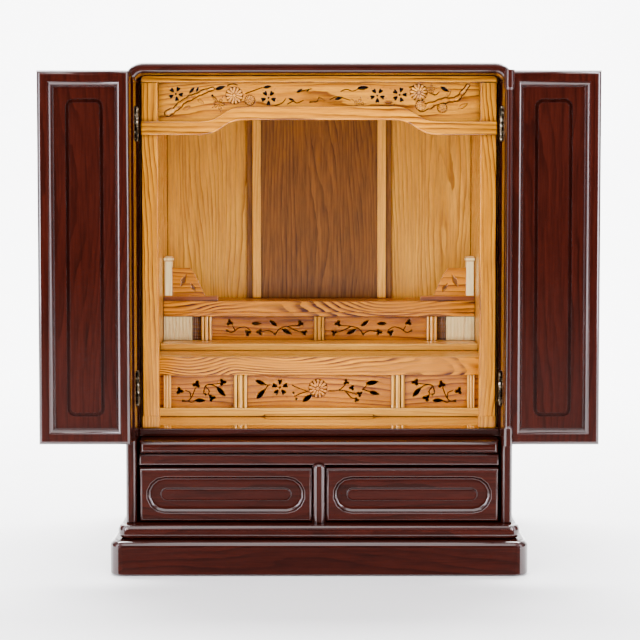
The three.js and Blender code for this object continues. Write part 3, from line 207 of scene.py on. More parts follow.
def mark_relief(n, colour, dark, light):
    """Painted shade in the carving's cuts, a painted highlight on its raised forms, and painted shade in
    hollows and corners.
    """
    cut = n.add("ShaderNodeAttribute", attribute_name="carved").outputs["Fac"]
    # painted shade where the carved attribute is above 0: cuts, seams and the ground round raised forms
    colour = n.mix(cut, colour, (*[c * 0.1 for c in dark], 1.0))
    # painted highlight where the carved attribute is below 0, on raised forms
    raised_highlight = (*[min(1.0, c * 1.1 + 0.1) for c in light], 1.0)
    colour = n.mix(n.math("MULTIPLY", cut, -1.0), colour, raised_highlight)
    # painted shade in concave places, found by their pointiness
    pointiness_shade = n.add("ShaderNodeNewGeometry").outputs["Pointiness"]
    colour = n.mix(0.8, colour, n.ramp(pointiness_shade, [(0.42, (0.6, 0.52, 0.46)), (0.5, (1, 1, 1))]), "MULTIPLY")
    # painted shade near corners and creases, found by ambient occlusion
    crease = n.add("ShaderNodeAmbientOcclusion", {"Distance": CREASE_REACH}, samples=6).outputs["AO"]
    crease_shade = n.ramp(crease, [(0.2, (0.3, 0.2, 0.14)), (0.8, (1, 1, 1))])
    return n.mix(0.85, colour, crease_shade, "MULTIPLY")


def grained_wood(name, axis, palette, grain, gloss, coat, fibre=0.5, bump=0.2, shine=0.22, tint=(1, 1, 1)):
    """Varnished wood with its grain along one axis."""
    n = Nodes(name)
    dark, _, light = palette
    colour, lines = growth_lines(n, axis, palette, grain)
    colour, threads = add_fibres(n, axis, colour, dark, fibre)
    colour = mark_relief(n, vary_tone(n, axis, colour), dark, light)
    rough = n.math("ADD", gloss, n.math("MULTIPLY", threads, gloss * 0.5))
    height = n.math("ADD", n.math("MULTIPLY", lines, 0.3), n.math("MULTIPLY", threads, 0.6))
    relief = n.add("ShaderNodeBump", {"Height": height, "Strength": bump, "Distance": 0.2 * MM})
    n.put(n.shader.inputs["Base Color"], colour)
    n.put(n.shader.inputs["Roughness"], rough)
    n.put(n.shader.inputs["Normal"], relief.outputs[0])
    n.put(n.shader.inputs["Coat Weight"], coat)
    n.put(n.shader.inputs["Coat Roughness"], 0.07)
    n.put(n.shader.inputs["Specular IOR Level"], shine)
    n.put(n.shader.inputs["Specular Tint"], (*tint, 1.0))
    return n.material


def worn_brass(name):
    """Dull brass with dark stains."""
    n = Nodes(name)
    stains = n.noise(n.stretched("z", 300, 300), 1.0, detail=4, roughness=0.6)
    colour = n.ramp(stains, [(0.45, rgb(14, 11, 9)), (0.58, rgb(96, 84, 66)), (0.7, rgb(226, 218, 198))])
    n.put(n.shader.inputs["Base Color"], colour)
    n.put(n.shader.inputs["Metallic"], 1.0)
    n.put(n.shader.inputs["Roughness"], n.math("ADD", 0.22, n.math("MULTIPLY", stains, 0.25)))
    bump = n.add("ShaderNodeBump", {"Height": stains, "Strength": 0.1, "Distance": 0.1 * MM})
    n.put(n.shader.inputs["Normal"], bump.outputs[0])
    return n.material


# Dark, middle and light colour of each wood
GOLD_PALETTE = (rgb(118, 60, 4), rgb(204, 140, 34), rgb(234, 176, 62))
AMBER_PALETTE = (rgb(92, 38, 0), rgb(190, 112, 4), rgb(230, 154, 18))
BOLD_PALETTE = (rgb(70, 24, 0), rgb(178, 104, 0), rgb(228, 150, 2))
TAWNY_PALETTE = (rgb(88, 34, 0), rgb(172, 96, 2), rgb(210, 134, 14))
LIGHT_PALETTE = (rgb(146, 78, 8), rgb(236, 162, 48), rgb(255, 200, 80))
PALE_PALETTE = (rgb(200, 140, 66), rgb(255, 236, 166), rgb(255, 246, 190))
BROWN_PALETTE = (rgb(58, 25, 2), rgb(122, 73, 21), rgb(154, 101, 35))
RUSSET_PALETTE = (rgb(60, 22, 8), rgb(120, 62, 26), rgb(140, 78, 36))
ROSEWOOD_PALETTE = (rgb(15, 4, 3), rgb(37, 11, 7), rgb(52, 16, 10))

# Width of a growth line in metres, how much it swirls, how strongly it shows, where in a line the dark part
# begins, and how quickly the lines change direction
FINE_GRAIN = (0.0055, 14, 0.6, 0.88, 2.6)
FAINT_GRAIN = (0.0040, 8, 0.45, 0.88, 2.0)
CLEAR_GRAIN = (0.0055, 14, 0.9, 0.86, 2.6)
BOLD_GRAIN = (0.0044, 22, 1.0, 0.72, 6.0)
FLOWING_GRAIN = (0.0046, 10, 0.95, 0.80, 2.0)
DARK_GRAIN = (0.0100, 12, 0.5, 0.86, 2.6)

KINDS = {
    "rosewood": {"palette": ROSEWOOD_PALETTE, "grain": DARK_GRAIN, "gloss": 0.1, "coat": 0.05, "bump": 0.02,
                 "shine": 0.05, "tint": (0.9, 0.5, 0.45)},
    "gold_wood": {"palette": GOLD_PALETTE, "grain": FINE_GRAIN, "gloss": 0.24, "coat": 0.1},
    "amber_wood": {"palette": AMBER_PALETTE, "grain": CLEAR_GRAIN, "gloss": 0.24, "coat": 0.1},
    "tawny_wood": {"palette": TAWNY_PALETTE, "grain": CLEAR_GRAIN, "gloss": 0.24, "coat": 0.1},
    "bold_wood": {"palette": BOLD_PALETTE, "grain": BOLD_GRAIN, "gloss": 0.24, "coat": 0.1, "fibre": 0.35},
    "orange_wood": {"palette": BOLD_PALETTE, "grain": FLOWING_GRAIN, "gloss": 0.22, "coat": 0.1,
                    "fibre": 0.4},
    "glossy_wood": {"palette": AMBER_PALETTE, "grain": FINE_GRAIN, "gloss": 0.07, "coat": 0.6, "bump": 0.02,
                    "shine": 0.5},
    "light_wood": {"palette": LIGHT_PALETTE, "grain": FAINT_GRAIN, "gloss": 0.2, "coat": 0.2, "fibre": 0.35},
    "pale_wood": {"palette": PALE_PALETTE, "grain": FINE_GRAIN, "gloss": 0.45, "coat": 0.1, "fibre": 0.15},
    "brown_wood": {"palette": BROWN_PALETTE, "grain": FINE_GRAIN, "gloss": 0.3, "coat": 0.2, "fibre": 0.6},
    "russet_wood": {"palette": RUSSET_PALETTE, "grain": FINE_GRAIN, "gloss": 0.3, "coat": 0.2},
}
WOODS = {}


def wood(kind, axis, polished=False):
    """A wood with its grain along one axis; the polished one is for edges and slopes that catch the light."""
    name = f"{kind}_{axis}_polished" if polished else f"{kind}_{axis}"
    if name not in WOODS:
        look = dict(KINDS[kind])
        if polished:
            look.update(gloss=0.14, coat=0.6, shine=0.5, bump=0.0, tint=(1, 0.94, 0.96))
        WOODS[name] = grained_wood(name, axis, **look)
    return WOODS[name]


BRASS = worn_brass("hinge_brass")

# Pieces whose grain runs upright; on the others it runs from side to side
UPRIGHT = ("case_side", "case_back", "leaf_", "astragal", "drawer_divider", "lining_", "back_lining",
           "centre_board", "pilaster_", "front_post_", "lower_column", "upper_column", "ribbed_block")
# Golden pieces that differ from the lining in tone
TONES = {"apron": "bold_wood", "arched_beam": "orange_wood", "top_tier": "bold_wood",
         "top_strip": "orange_wood", "transom": "amber_wood", "inner_floor": "glossy_wood",
         "bottom_rail": "light_wood", "front_post": "amber_wood", "lower_panel": "tawny_wood",
         "upper_panel": "tawny_wood", "railing": "amber_wood", "pilaster": "light_wood",
         "lower_column": "light_wood", "upper_column": "light_wood", "upper_step": "light_wood"}
# Width of a rounded edge in millimetres, where it isn't the usual one
EDGE_WIDTH = 0.7
EDGE_WIDTHS = {"case_back": 0.3, "drawer_": 0.5, "lower_column": 0.2, "upper_column": 0.2,
               "ribbed_block": 0.1, "arched_beam": 1.4, "apron": 0.8, "pilaster": 1.2, "railing": 0.5,
               "top_tier": 0.8, "front_post": 0.8, "bottom_rail": 1.2}


def row_for(node, table, usual):
    """The value of the first row whose name the node's name starts with."""
    return next((value for start, value in table.items() if node.startswith(start)), usual)


def kind_of(node):
    return row_for(node, TONES, SLOT_OF[node])


def axis_of(node):
    return "z" if node.startswith(UPRIGHT) else "x"


def material_for(node):
    return BRASS if SLOT_OF[node] == "hinge_brass" else wood(kind_of(node), axis_of(node))


# Pieces

# A face is a slope when no part of its direction reaches this
FLAT_ON_LEAF = 0.97
FLAT = 0.93
REED_GAP = 0.3                  # depth of the gaps between a column's reeds, as a share of its depth; faces deeper than this get painted shade


def settle(piece, node):
    """Gives a piece its finish and its body, and hides the CAD node that it stands for."""
    piece.data.materials.clear()
    piece.data.materials.append(material_for(node))
    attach(piece, BODY_OF[node])
    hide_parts(node)


def new_piece(name, mesh):
    piece = bpy.data.objects.new(name, mesh)
    bpy.context.scene.collection.objects.link(piece)
    return piece


def soften(piece, width, segments=3):
    """Rounds the sharp edges and shades the rest smooth."""
    bevel = piece.modifiers.new("edges", "BEVEL")
    bevel.width = width
    bevel.segments = segments
    bevel.limit_method = "ANGLE"
    bevel.angle_limit = math.radians(38)
    bevel.miter_outer = "MITER_ARC"
    piece.data.shade_smooth()
    normals = piece.modifiers.new("normals", "WEIGHTED_NORMAL")
    normals.keep_sharp = True
    normals.weight = 60


def polish(piece, node):
    """Polish for the rounded edges, and on dark wood for the slopes of the mouldings as well."""
    piece.data.materials.append(wood(kind_of(node), axis_of(node), polished=True))
    piece.modifiers["edges"].material = 1
    if SLOT_OF[node] == "rosewood":
        flat = FLAT_ON_LEAF if node.startswith("leaf_") else FLAT
        for polygon in piece.data.polygons:
            if max(abs(part) for part in polygon.normal) < flat:
                polygon.material_index = 1


def stain_or_shade(piece, material, chosen):
    """Gives the faces that a test picks, by their middle and their direction, another finish: a stain or a
    painted shade.
    """
    piece.data.materials.append(material)
    for polygon in piece.data.polygons:
        if chosen(polygon.center, polygon.normal):
            polygon.material_index = len(piece.data.materials) - 1


def stain_railing(piece, lo, hi):
    """A pale newel, a russet base strip and a dark scroll in the wing."""
    inner = max(abs(lo.x), abs(hi.x)) - NEWEL_WIDTH
    strip_top = lo.z + STRIP_H
    scroll = lo.y + SCROLL_DEPTH
    stain_or_shade(piece, wood("pale_wood", "z"), lambda c, n: abs(c.x) > inner and c.z > strip_top)
    stain_or_shade(piece, wood("russet_wood", "x"), lambda c, n: c.z < strip_top + 0.1 * MM and n.z < 0.9)
    stain_or_shade(piece, wood("brown_wood", "x"), lambda c, n: abs(c.x) < inner and c.y > scroll and n.y < -0.9)


def stains_and_shade(piece, node):
    """Stains for some faces that differ from the rest of a piece, and painted shade on others."""
    lo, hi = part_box(node)
    if node in ("lining_left", "lining_right", "ceiling"):
        # painted shade: the front edge of the linings and the ceiling gets the dark wood, as the shade in the
        # gap beside the case
        stain_or_shade(piece, wood("rosewood", "z"), lambda c, n: c.y < lo.y + LINING_EDGE)
    elif node.startswith("railing"):
        stain_railing(piece, lo, hi)
    elif "_column_" in node:
        # painted shade: faces in the gaps between the reeds get a brown wood
        gap = lo.y + REED_GAP * (hi.y - lo.y)
        stain_or_shade(piece, wood("brown_wood", "z"), lambda c, n: c.y > gap and n.y < -0.2)


def add_block(form, lo, hi):
    """A block between two opposite corners."""
    for vertex in bmesh.ops.create_cube(form, size=1.0)["verts"]:
        vertex.co = Vector([(lo, hi)[vertex.co[i] > 0][i] for i in range(3)])


def add_lip(form, node):
    """A strip of wood just behind the shallow hollow in a rail's lower edge."""
    lo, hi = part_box(node)
    add_block(form, (-LIP_HALF, lo.y + LIP_BEHIND, lo.z + HAIR), (LIP_HALF, hi.y - LIP_BEFORE, lo.z + LIP_H))


def rounded_copy(node):
    """The node's own form with rounded edges."""
    mesh = frame["nodes"][node].data.copy()
    mesh.name = f"{node}_finished"
    form = bmesh.new()
    form.from_mesh(mesh)
    bmesh.ops.remove_doubles(form, verts=form.verts, dist=1e-6)
    bmesh.ops.dissolve_limit(form, angle_limit=math.radians(1), verts=form.verts, edges=form.edges)
    if node == "bottom_rail":
        add_lip(form, node)
    form.to_mesh(mesh)
    form.free()
    piece = new_piece(f"{node}_finished", mesh)
    soften(piece, row_for(node, EDGE_WIDTHS, EDGE_WIDTH) * MM)
    settle(piece, node)
    polish(piece, node)
    stains_and_shade(piece, node)


# Carved boards

# Places in millimetres from the middle of a board's visible lower edge: a motif is [kind, across, up, size,
# angle in degrees], a stem or a branch is a run of places, ribs go from one place across to another.

LOWER_SIDE = {
    "motifs": [["trefoil", -24, 19, 4.4, 20], ["trefoil", -4.4, 26.6, 4.6, -15],
               ["trefoil", 25.5, 29, 4.4, 30], ["trefoil", 13, 10.8, 4.4, 160],
               ["leaf", -0.4, 8, 12.5, 0], ["leaf", 23.7, 18, 15, -48], ["dot", 6, 15, 1.3, 0],
               ["dot", -20, 7.6, 1.4, 0]],
    "stems": [[[-20, 7.6], [-14, 7.6], [-9.5, 13], [-5.5, 23]], [[-11, 11], [-12, 17], [-17, 19.5]],
              [[4, 19], [6, 25], [12, 26.5], [24, 28]], [[4, 19], [3.6, 16.4], [6, 15]],
              [[-14, 7], [-10, 6], [-5, 8]], [[6, 24], [10, 19], [9, 15], [12, 13]],
              [[10, 26.8], [16, 25], [19, 22.5]]],
}
LOWER_CENTRE = {
    "motifs": [["leaf", -67.3, 28.7, 13, -22], ["leaf", -66.7, 15.4, 15, 50],
               ["blossom", -44.9, 23, 9.8, 36], ["bloom", -1.3, 22, 10.8, 0], ["leaf", -13, 11, 15, 38],
               ["leaf", 60.8, 28.4, 15, 10], ["leaf", 63.3, 16.5, 12.5, -15],
               ["trefoil", 31, 29, 3.6, 10], ["trefoil", 37.5, 22.6, 3.4, -30],
               ["trefoil", 46.5, 15.4, 3.6, 60], ["trefoil", 43, 8.6, 3, 140],
               ["dot", -29.6, 16.8, 1.3, 0], ["dot", -26.2, 9.8, 1.3, 0]],
    "stems": [[[-30.8, 25.6], [-22, 21.5], [-12, 18.4]], [[-27.8, 13.1], [-20, 16.4], [-13, 18.6]],
              [[10.5, 18.8], [22.2, 19.9], [30, 26]], [[22.2, 19.9], [32, 18.5], [43, 15]],
              [[-62, 20], [-59, 25]], [[-63, 26.5], [-57, 25.4]], [[50, 21], [55, 25.5]],
              [[50, 21], [58, 18]], [[30, 19], [36, 12], [41, 10]]],
}
UPPER_SIDE = {
    "motifs": [["trefoil", -40.5, 20.8, 4.2, 10], ["trefoil", -18.5, 8.5, 4.2, 170],
               ["trefoil", -4.5, 9.2, 4, 90], ["trefoil", 45.4, 19.7, 4.2, 20],
               ["trefoil", 50.2, 8.5, 3.8, 70], ["leaf", -8.1, 19.7, 12, 0], ["leaf", 12.6, 20, 12, -38],
               ["leaf", 28.9, 9.9, 14, -28], ["dot", -44, 11, 1.3, 0], ["dot", 14.6, 6.6, 1.3, 0]],
    "stems": [[[-44, 11], [-38, 9], [-30, 14], [-22, 15.5], [-16, 12]], [[-34, 11.5], [-37, 17]],
              [[-2, 10], [6, 11], [11, 9.5], [14.6, 6.6]], [[14.6, 6.6], [20, 13], [28, 16], [42, 17.5]],
              [[30, 16], [38, 12], [47, 9]]],
    "ribs": [[-90, -74.6]],
}
TRANSOM_CARVING = {
    "motifs": [["blossom", -155, 19, 8.4, 10], ["leaf", -106.8, 25.5, 12, 18],
               ["leaf", -137.5, 23, 9, 50], ["leaf", -131.5, 24, 7, 70],
               ["raised_leaf", -108.4, 8.6, 12, -10], ["bloom", -91.6, 17.3, 9.4, 0],
               ["leaf", -56, 26.6, 9.5, 10], ["bloom", -74.8, 12, 5.4, 0],
               ["blossom", -54.7, 14.8, 8.6, 0], ["leaf", -21, 22.5, 8, 30], ["leaf", 21, 14, 9, 15],
               ["leaf", 47.6, 25.5, 13, 5], ["blossom", 63.1, 17.4, 8.4, 0],
               ["blossom", 87.2, 18, 8.4, 20], ["raised_leaf", 75.1, 9.8, 10, 0],
               ["bloom", 107.8, 20.4, 9.4, 0], ["bloom", 110, 6.5, 5.5, 0], ["leaf", 136, 24, 11, -30],
               ["bloom", 133.2, 3.6, 5, 0], ["raised_leaf", 156, 6, 11, 30],
               ["dot", -115.5, 17.3, 1.2, 0], ["etched", -108, 8, 6, 10], ["etched", 43, 8, 5.5, 20],
               ["leaf", -12, 23, 5, 40], ["leaf", -30, 13, 7, -20], ["etched", 121, 24, 4.5, 30],
               ["raised_leaf", -143, 4, 9, 25], ["raised_leaf", -128, 11, 8, -35],
               ["raised_leaf", 121, 4.5, 8, 40], ["raised_leaf", 140, 19, 8, 60]],
    "stems": [[[-79.1, 19.5], [-68, 23.5], [-61, 26]], [[-115.5, 17.3], [-111, 13.5]],
              [[-20, 22], [-8, 24.5]], [[-10, 10], [-2, 11], [0, 15], [6, 12]],
              [[12, 13], [20, 16], [34, 12]], [[-34, 8], [-28, 11], [-24, 9], [-17, 12]],
              [[24, 22], [30, 24], [36, 22], [42, 24]], [[66, 6], [74, 5], [82, 8]],
              [[98, 26], [104, 28], [112, 27]], [[-48, 6], [-40, 9], [-36, 14]],
              [[-99, 28], [-94, 30], [-88, 28.5]], [[120, 20], [126, 18], [130, 21]]],
    "branches": [[[-164, -2], [-155, 3], [-147, 10.5], [-135, 16.5], [-124, 21.5], [-115, 24.5]],
                 [[111, 3], [132, 11], [148, 13.5], [155, 20], [161, 28]]],
}


def mirrored(carving):
    """The carving turned over from left to right."""
    motifs = [[kind, -across, up, size, -degrees] for kind, across, up, size, degrees in carving["motifs"]]
    return {"motifs": motifs,
            "stems": [[[-x, z] for x, z in stem] for stem in carving["stems"]],
            "ribs": [[-last, -first] for first, last in carving.get("ribs", [])]}


# In millimetres
RUN_MARGIN = 12                 # how far round a stem or a branch the board changes
MOTIF_MARGIN = 2.5              # how far round a motif
RIB_PITCH = 2.2
FAR = 9.0                       # hole distance where no hole is near


def dot_distance(u, v, radius):
    return np.hypot(u, v) - radius


def leaf_distance(u, v, length):
    """How far outside a pointed leaf a place lies, negative inside."""
    half = length / 2
    t = (-1.6 + np.sqrt(2.56 + 1.6 * (1 + np.clip(u / half, -1, 1)))) / 0.8
    return np.maximum(np.abs(v) - 2 * t * (1 - t) * length * 0.36, np.abs(u) - half)


def trefoil_distance(u, v, size):
    """Three short petals round a middle; an angle of 0 points up."""
    reach = 0.4 + 0.6 * np.abs(np.cos(1.5 * np.arctan2(u, v))) ** 1.3
    return np.hypot(u, v) - size * reach


def blossom_distance(u, v, size):
    """Five notched petals and the dot between them."""
    radius, angle = np.hypot(u, v) / size, np.arctan2(u, v)
    sector = math.tau / 5
    turn = (angle % sector) - sector / 2
    along, across = radius * np.cos(turn), np.abs(radius * np.sin(turn))
    widening = 0.26 * np.sqrt(np.clip((along - 0.34) / 0.46, 0, 1))
    closing = 0.26 * np.sqrt(np.clip(1 - ((along - 0.8) / 0.21) ** 2, 0, 1))
    petal = across - np.where(along < 0.8, widening, closing)
    petal = np.maximum(petal, 0.34 - along)
    petal = np.maximum(petal, 0.15 - np.hypot(across, along - 1.03))
    return size * np.minimum(petal, radius - 0.13)


def bloom_relief(u, v, size):
    """A raised flower, two rings of petals round a button: its height, and the painted shade of its seams and
    of the ring round its button.
    """
    radius, angle = np.hypot(u, v) / size, np.arctan2(u, v)

    def ring(count, outer, base, top, turn):
        lobes = np.abs(np.cos(count * angle / 2 + turn))
        reach = outer * (0.8 + 0.2 * lobes)
        inside = np.clip((reach - radius) / 0.05, 0, 1)
        cup = np.clip(0.75 + 0.5 * (radius / outer), 0, 1.2)
        seam = inside * np.clip((0.5 - lobes) / 0.3, 0, 1) * np.clip(radius / outer * 2, 0, 1)
        return inside * (base + (top - base) * lobes ** 0.6 * cup), seam

    low, low_seam = ring(13, 1.0, 0.1, 1.6, 0.0)
    high, high_seam = ring(9, 0.62, 0.9, 2.3, 0.8)
    button = np.where(radius < 0.19, 1.9 + 0.6 * np.sqrt(np.clip(1 - (radius / 0.19) ** 2, 0, 1)), 0)
    rim = np.exp(-((radius - 0.22) / 0.035) ** 2)
    height = np.maximum.reduce([low, high, button])
    return height, np.maximum(np.where(high > low, high_seam, low_seam), rim)


def smooth_run(places, steps=10):
    """A smooth curve through the places."""
    p = np.array(places, float)
    p = np.vstack([2 * p[0] - p[1], p, 2 * p[-1] - p[-2]])
    t = np.linspace(0, 1, steps, endpoint=False)[:, None]
    spans = []
    for a, b, c, d in zip(p, p[1:], p[2:], p[3:]):
        bend, twist = 2 * a - 5 * b + 4 * c - d, 3 * b - a - 3 * c + d
        spans.append(0.5 * (2 * b + (c - a) * t + bend * t ** 2 + twist * t ** 3))
    return np.vstack([*spans, p[-2:-1]])


def run_distance(x, z, run):
    """Distance from a run of places and how far along it the nearest place lies, 0 to 1."""
    best, share = np.full(x.shape, 99.0), np.zeros(x.shape)
    for i, (a, b) in enumerate(zip(run, run[1:])):
        d = b - a
        t = np.clip(((x - a[0]) * d[0] + (z - a[1]) * d[1]) / (d @ d), 0, 1)
        distance = np.hypot(x - a[0] - t * d[0], z - a[1] - t * d[1])
        near = distance < best
        best, share = np.where(near, distance, best), np.where(near, (i + t) / (len(run) - 1), share)
    return best, share


def window(x, z, centre, reach):
    """The part of the grid within reach of a place."""
    rows = np.where(np.abs(z[:, 0] - centre[1]) <= reach)[0]
    columns = np.where(np.abs(x[0] - centre[0]) <= reach)[0]
    return slice(rows[0], rows[-1] + 1), slice(columns[0], columns[-1] + 1)


def hand_cut(x, z):
    """The faint unevenness of a surface cut by hand, in millimetres."""
    return 0.035 * (np.sin(0.9 * x + 1.7 * np.sin(0.31 * z)) + np.sin(1.3 * z + 1.1 * np.sin(0.43 * x)))


def near_run(x, z, run):
    """The part of the grid round a run, with the distance from it and the share of its length."""
    area = window(x, z, run.mean(axis=0), np.ptp(run, axis=0).max() / 2 + RUN_MARGIN)
    return (area, *run_distance(x[area], z[area], run))


def cut_stem(x, z, run, rise, dark):
    """A groove that tapers towards the stem's end, painted dark as shade."""
    area, distance, share = near_run(x, z, run)
    groove = np.clip((0.72 - 0.25 * share - distance) / 0.3, 0, 1)
    rise[area] -= 1.5 * groove
    dark[area] = np.maximum(dark[area], 0.9 * groove)


def raise_branch(x, z, run, rise, dark):
    """A knotty, tapering branch with bark, in a shallow hollow; painted shade beside it and in the bark's
    creases, and a painted highlight along its top.
    """
    area, distance, share = near_run(x, z, run)
    knots = 0.45 * np.sin(26 * share) + 0.35 * np.sin(61 * share + 1)
    width = (2.7 + knots) * (1 - 0.5 * share)
    body = np.sqrt(np.clip(1 - (distance / width) ** 2, 0, 1))
    bark = 0.35 * np.sin(3.1 * x[area] - 2.3 * z[area]) * np.sin(1.7 * z[area] + 0.6 * x[area]) * body
    beside = np.exp(-(np.maximum(distance - width, 0) / 0.8) ** 2)
    rise[area] = np.where(body > 0, rise[area] + (2.2 + knots) * body + bark, rise[area] - 1.3 * beside)
    # painted shade in the bark's creases and beside the branch, painted highlight where the branch is highest
    crease = np.clip(-bark * 2.2, 0, 0.45)
    dark[area] = np.where(body > 0.25, 1.6 * crease - 0.7 * body, np.maximum(dark[area], 0.9 * beside))


def raise_bloom(u, v, size, rise, dark):
    """A raised flower in a shallow hollow, with painted shade round it and a painted highlight on its petals.
    """
    height, seam = bloom_relief(u, v, size)
    beside = np.exp(-(np.maximum(np.hypot(u, v) - size * 0.9, 0) / 0.9) ** 2)
    # painted shade in the seams and round the flower, painted highlight on its petals
    return (np.where(height > 0, np.maximum(rise, height), rise - beside),
            np.where(height > 0, 1.4 * seam - 0.35, np.maximum(dark, 0.9 * beside)))


def raise_leaf(u, v, size, rise, dark):
    """A raised leaf with a middle rib and side veins."""
    distance = leaf_distance(u, v, size)
    body = np.clip(-distance / (size * 0.1), 0, 1) ** 0.6
    vein = np.exp(-(v / 0.22) ** 2) + 0.5 * np.exp(-((np.abs(v) * 0.8 - (u % 2.2) + 1.1) / 0.25) ** 2)
    leaf = np.where(distance < 0, 1.3 * body - 0.45 * vein * body, -0.5 * np.exp(-(distance / 0.5) ** 2))
    shadow = np.where(distance < 0, 0.4 * vein, 0.5 * np.exp(-(distance / 0.4) ** 2))
    return rise + leaf, np.maximum(dark, shadow)


def etch_blossom(u, v, size, rise, dark):
    """A slightly raised blossom with a groove round it, the groove painted dark as shade."""
    distance = blossom_distance(u, v, size)
    groove = np.exp(-(np.abs(distance) / 0.32) ** 2)
    return rise + np.where(distance < 0, 0.7, 0) - 0.9 * groove, np.maximum(dark, 0.85 * groove)


PIERCED = {"leaf": leaf_distance, "trefoil": trefoil_distance, "blossom": blossom_distance,
           "dot": dot_distance}
RAISED = {"bloom": raise_bloom, "raised_leaf": raise_leaf, "etched": etch_blossom}


def carve_field(x, z, carving):
    """Rise in millimetres, hole distance (negative inside) and painted shade on a grid, negative where a
    highlight is painted.
    """
    rise, hole, dark = hand_cut(x, z), np.full(x.shape, FAR), np.zeros(x.shape)
    for stem in carving["stems"]:
        cut_stem(x, z, smooth_run(stem), rise, dark)
    for branch in carving.get("branches", []):
        raise_branch(x, z, smooth_run(branch), rise, dark)
    for kind, across, up, size, degrees in carving["motifs"]:
        area = window(x, z, (across, up), size + MOTIF_MARGIN)
        cos, sin = math.cos(math.radians(degrees)), math.sin(math.radians(degrees))
        dx, dz = x[area] - across, z[area] - up
        u, v = dx * cos + dz * sin, dz * cos - dx * sin
        if kind in PIERCED:
            hole[area] = np.minimum(hole[area], PIERCED[kind](u, v, size))
        else:
            rise[area], dark[area] = RAISED[kind](u, v, size, rise[area], dark[area])
    # painted shade round the edge of each hole
    rim = np.exp(-(np.maximum(hole, 0) / 0.35) ** 2)
    dark = np.where(rim > 0.05, np.maximum(dark, 0.35 * rim), dark)
    for first, last in carving.get("ribs", []):
        inside = (x > first) & (x < last)
        wave = np.cos(x * math.tau / RIB_PITCH)
        rise = np.where(inside, rise - 0.5 - 0.3 * wave, rise)
        # the ribbed part painted darker as shade, most in each rib's hollow
        dark = np.where(inside, 0.72 + 0.12 * wave, dark)
    return rise - 0.3 * rim, hole, dark


def shaded_edges(x, z, dark):
    """Darker towards both ends and the upper edge, where the frame keeps the light off."""
    ends = np.minimum(x - x.min(), x.max() - x)
    shade = 0.4 * np.exp(-(ends / 4.5) ** 2) + 0.3 * np.exp(-((z.max() - z) / 3.0) ** 2)
    return np.maximum(dark, np.where(dark < 0, dark, shade))


def drawn_to_edge(x, z, hole, inside, step):
    """The grid with its places just inside a hole moved onto the hole's edge."""
    slope_z, slope_x = np.gradient(hole, step)
    move = np.where(inside, -hole / np.maximum(slope_x ** 2 + slope_z ** 2, 0.2), 0)
    limit = 1.1 * step
    return x + np.clip(move * slope_x, -limit, limit), z + np.clip(move * slope_z, -limit, limit)


def open_edges(quads):
    """The edges that only one face has."""
    edges = np.concatenate([quads[:, [i, (i + 1) % 4]] for i in range(4)])
    _, first, count = np.unique(np.sort(edges, axis=1), axis=0, return_index=True, return_counts=True)
    return edges[first[count == 1]]


def painted_shade_sheet(lo, hi, origin, lower_edge, columns):
    """Places of a sheet at a board's back, which is painted dark as shade: a lower and an upper place for
    each column of its grid.
    """
    x = np.linspace(lo.x, hi.x, columns)
    low = origin[1] + lower_edge((x - origin[0]) / MM) * MM
    y = np.full(columns, hi.y - HAIR)
    return np.stack([x, y, low, x, y, np.full(columns, hi.z)], axis=1).reshape(-1, 3)


def relief_board(node, carving, origin, step, lower_edge=None):
    """A board with a carved front and walls round every pierced form.

    One with a shaped lower edge also has a sheet behind it, painted dark as shade."""
    lo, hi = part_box(node)
    columns, rows = round((hi.x - lo.x) / step) + 1, round((hi.z - lo.z) / step) + 1
    x, z = np.meshgrid((np.linspace(lo.x, hi.x, columns) - origin[0]) / MM,
                       (np.linspace(lo.z, hi.z, rows) - origin[1]) / MM)
    rise, hole, dark = carve_field(x, z, carving)
    if lower_edge:
        hole = np.minimum(hole, z - lower_edge(x))
    dark = shaded_edges(x, z, dark)
    outside = hole > 0
    kept = outside[:-1, :-1] | outside[1:, :-1] | outside[:-1, 1:] | outside[1:, 1:]
    used = np.zeros(hole.shape, bool)
    for i in (0, 1):
        for j in (0, 1):
            used[i:rows - 1 + i, j:columns - 1 + j] |= kept
    x, z = drawn_to_edge(x, z, hole, used & ~outside, step / MM)
    y = np.clip(max(lo.y, hi.y - ROW_BOARD) - rise * MM, lo.y + HAIR / 2, hi.y - LEAST_WOOD)
    front = np.column_stack([x[used] * MM + origin[0], y[used], z[used] * MM + origin[1]])
    number = -np.ones(hole.shape, int)
    number[used] = np.arange(len(front))
    quads = np.stack([number[:-1, :-1], number[:-1, 1:], number[1:, 1:], number[1:, :-1]], axis=-1)[kept]
    rim = open_edges(quads)
    corners = np.unique(rim)
    behind = front[corners].copy()
    behind[:, 1] = hi.y
    partner = {corner: len(front) + i for i, corner in enumerate(corners.tolist())}
    faces = quads.tolist() + [(b, a, partner[a], partner[b]) for a, b in rim.tolist()]
    points = np.vstack([front, behind])
    if lower_edge:
        first = len(points)
        points = np.vstack([points, painted_shade_sheet(lo, hi, origin, lower_edge, columns)])
        faces += [(i, i + 1, i + 3, i + 2) for i in range(first, len(points) - 2, 2)]
    mesh = bpy.data.meshes.new(f"{node}_carved")
    mesh.from_pydata(points.tolist(), [], faces)
    # painted shade: the walls round the holes and the sheet behind are fully dark
    carved = np.ones(len(points), np.float32)
    carved[:len(front)] = dark[used]
    mesh.attributes.new("carved", "FLOAT", "POINT").data.foreach_set("value", carved)
    mesh.shade_smooth()
    mesh.set_sharp_from_angle(angle=math.radians(60))
    settle(new_piece(f"{node}_carved", mesh), node)


def beam_curve(x, base, rise, outer, inner):
    """Height of an edge of the beam at a distance x from its middle, in millimetres."""
    t = np.linspace(0, 1, 40)
    turn = (outer + inner) / 2
    run = (1 - t) ** 3 * outer + 3 * t * (1 - t) * turn + t ** 3 * inner
    climb = base + rise * (3 * t ** 2 * (1 - t) + t ** 3)
    return np.interp(np.abs(x), run[::-1], climb[::-1])


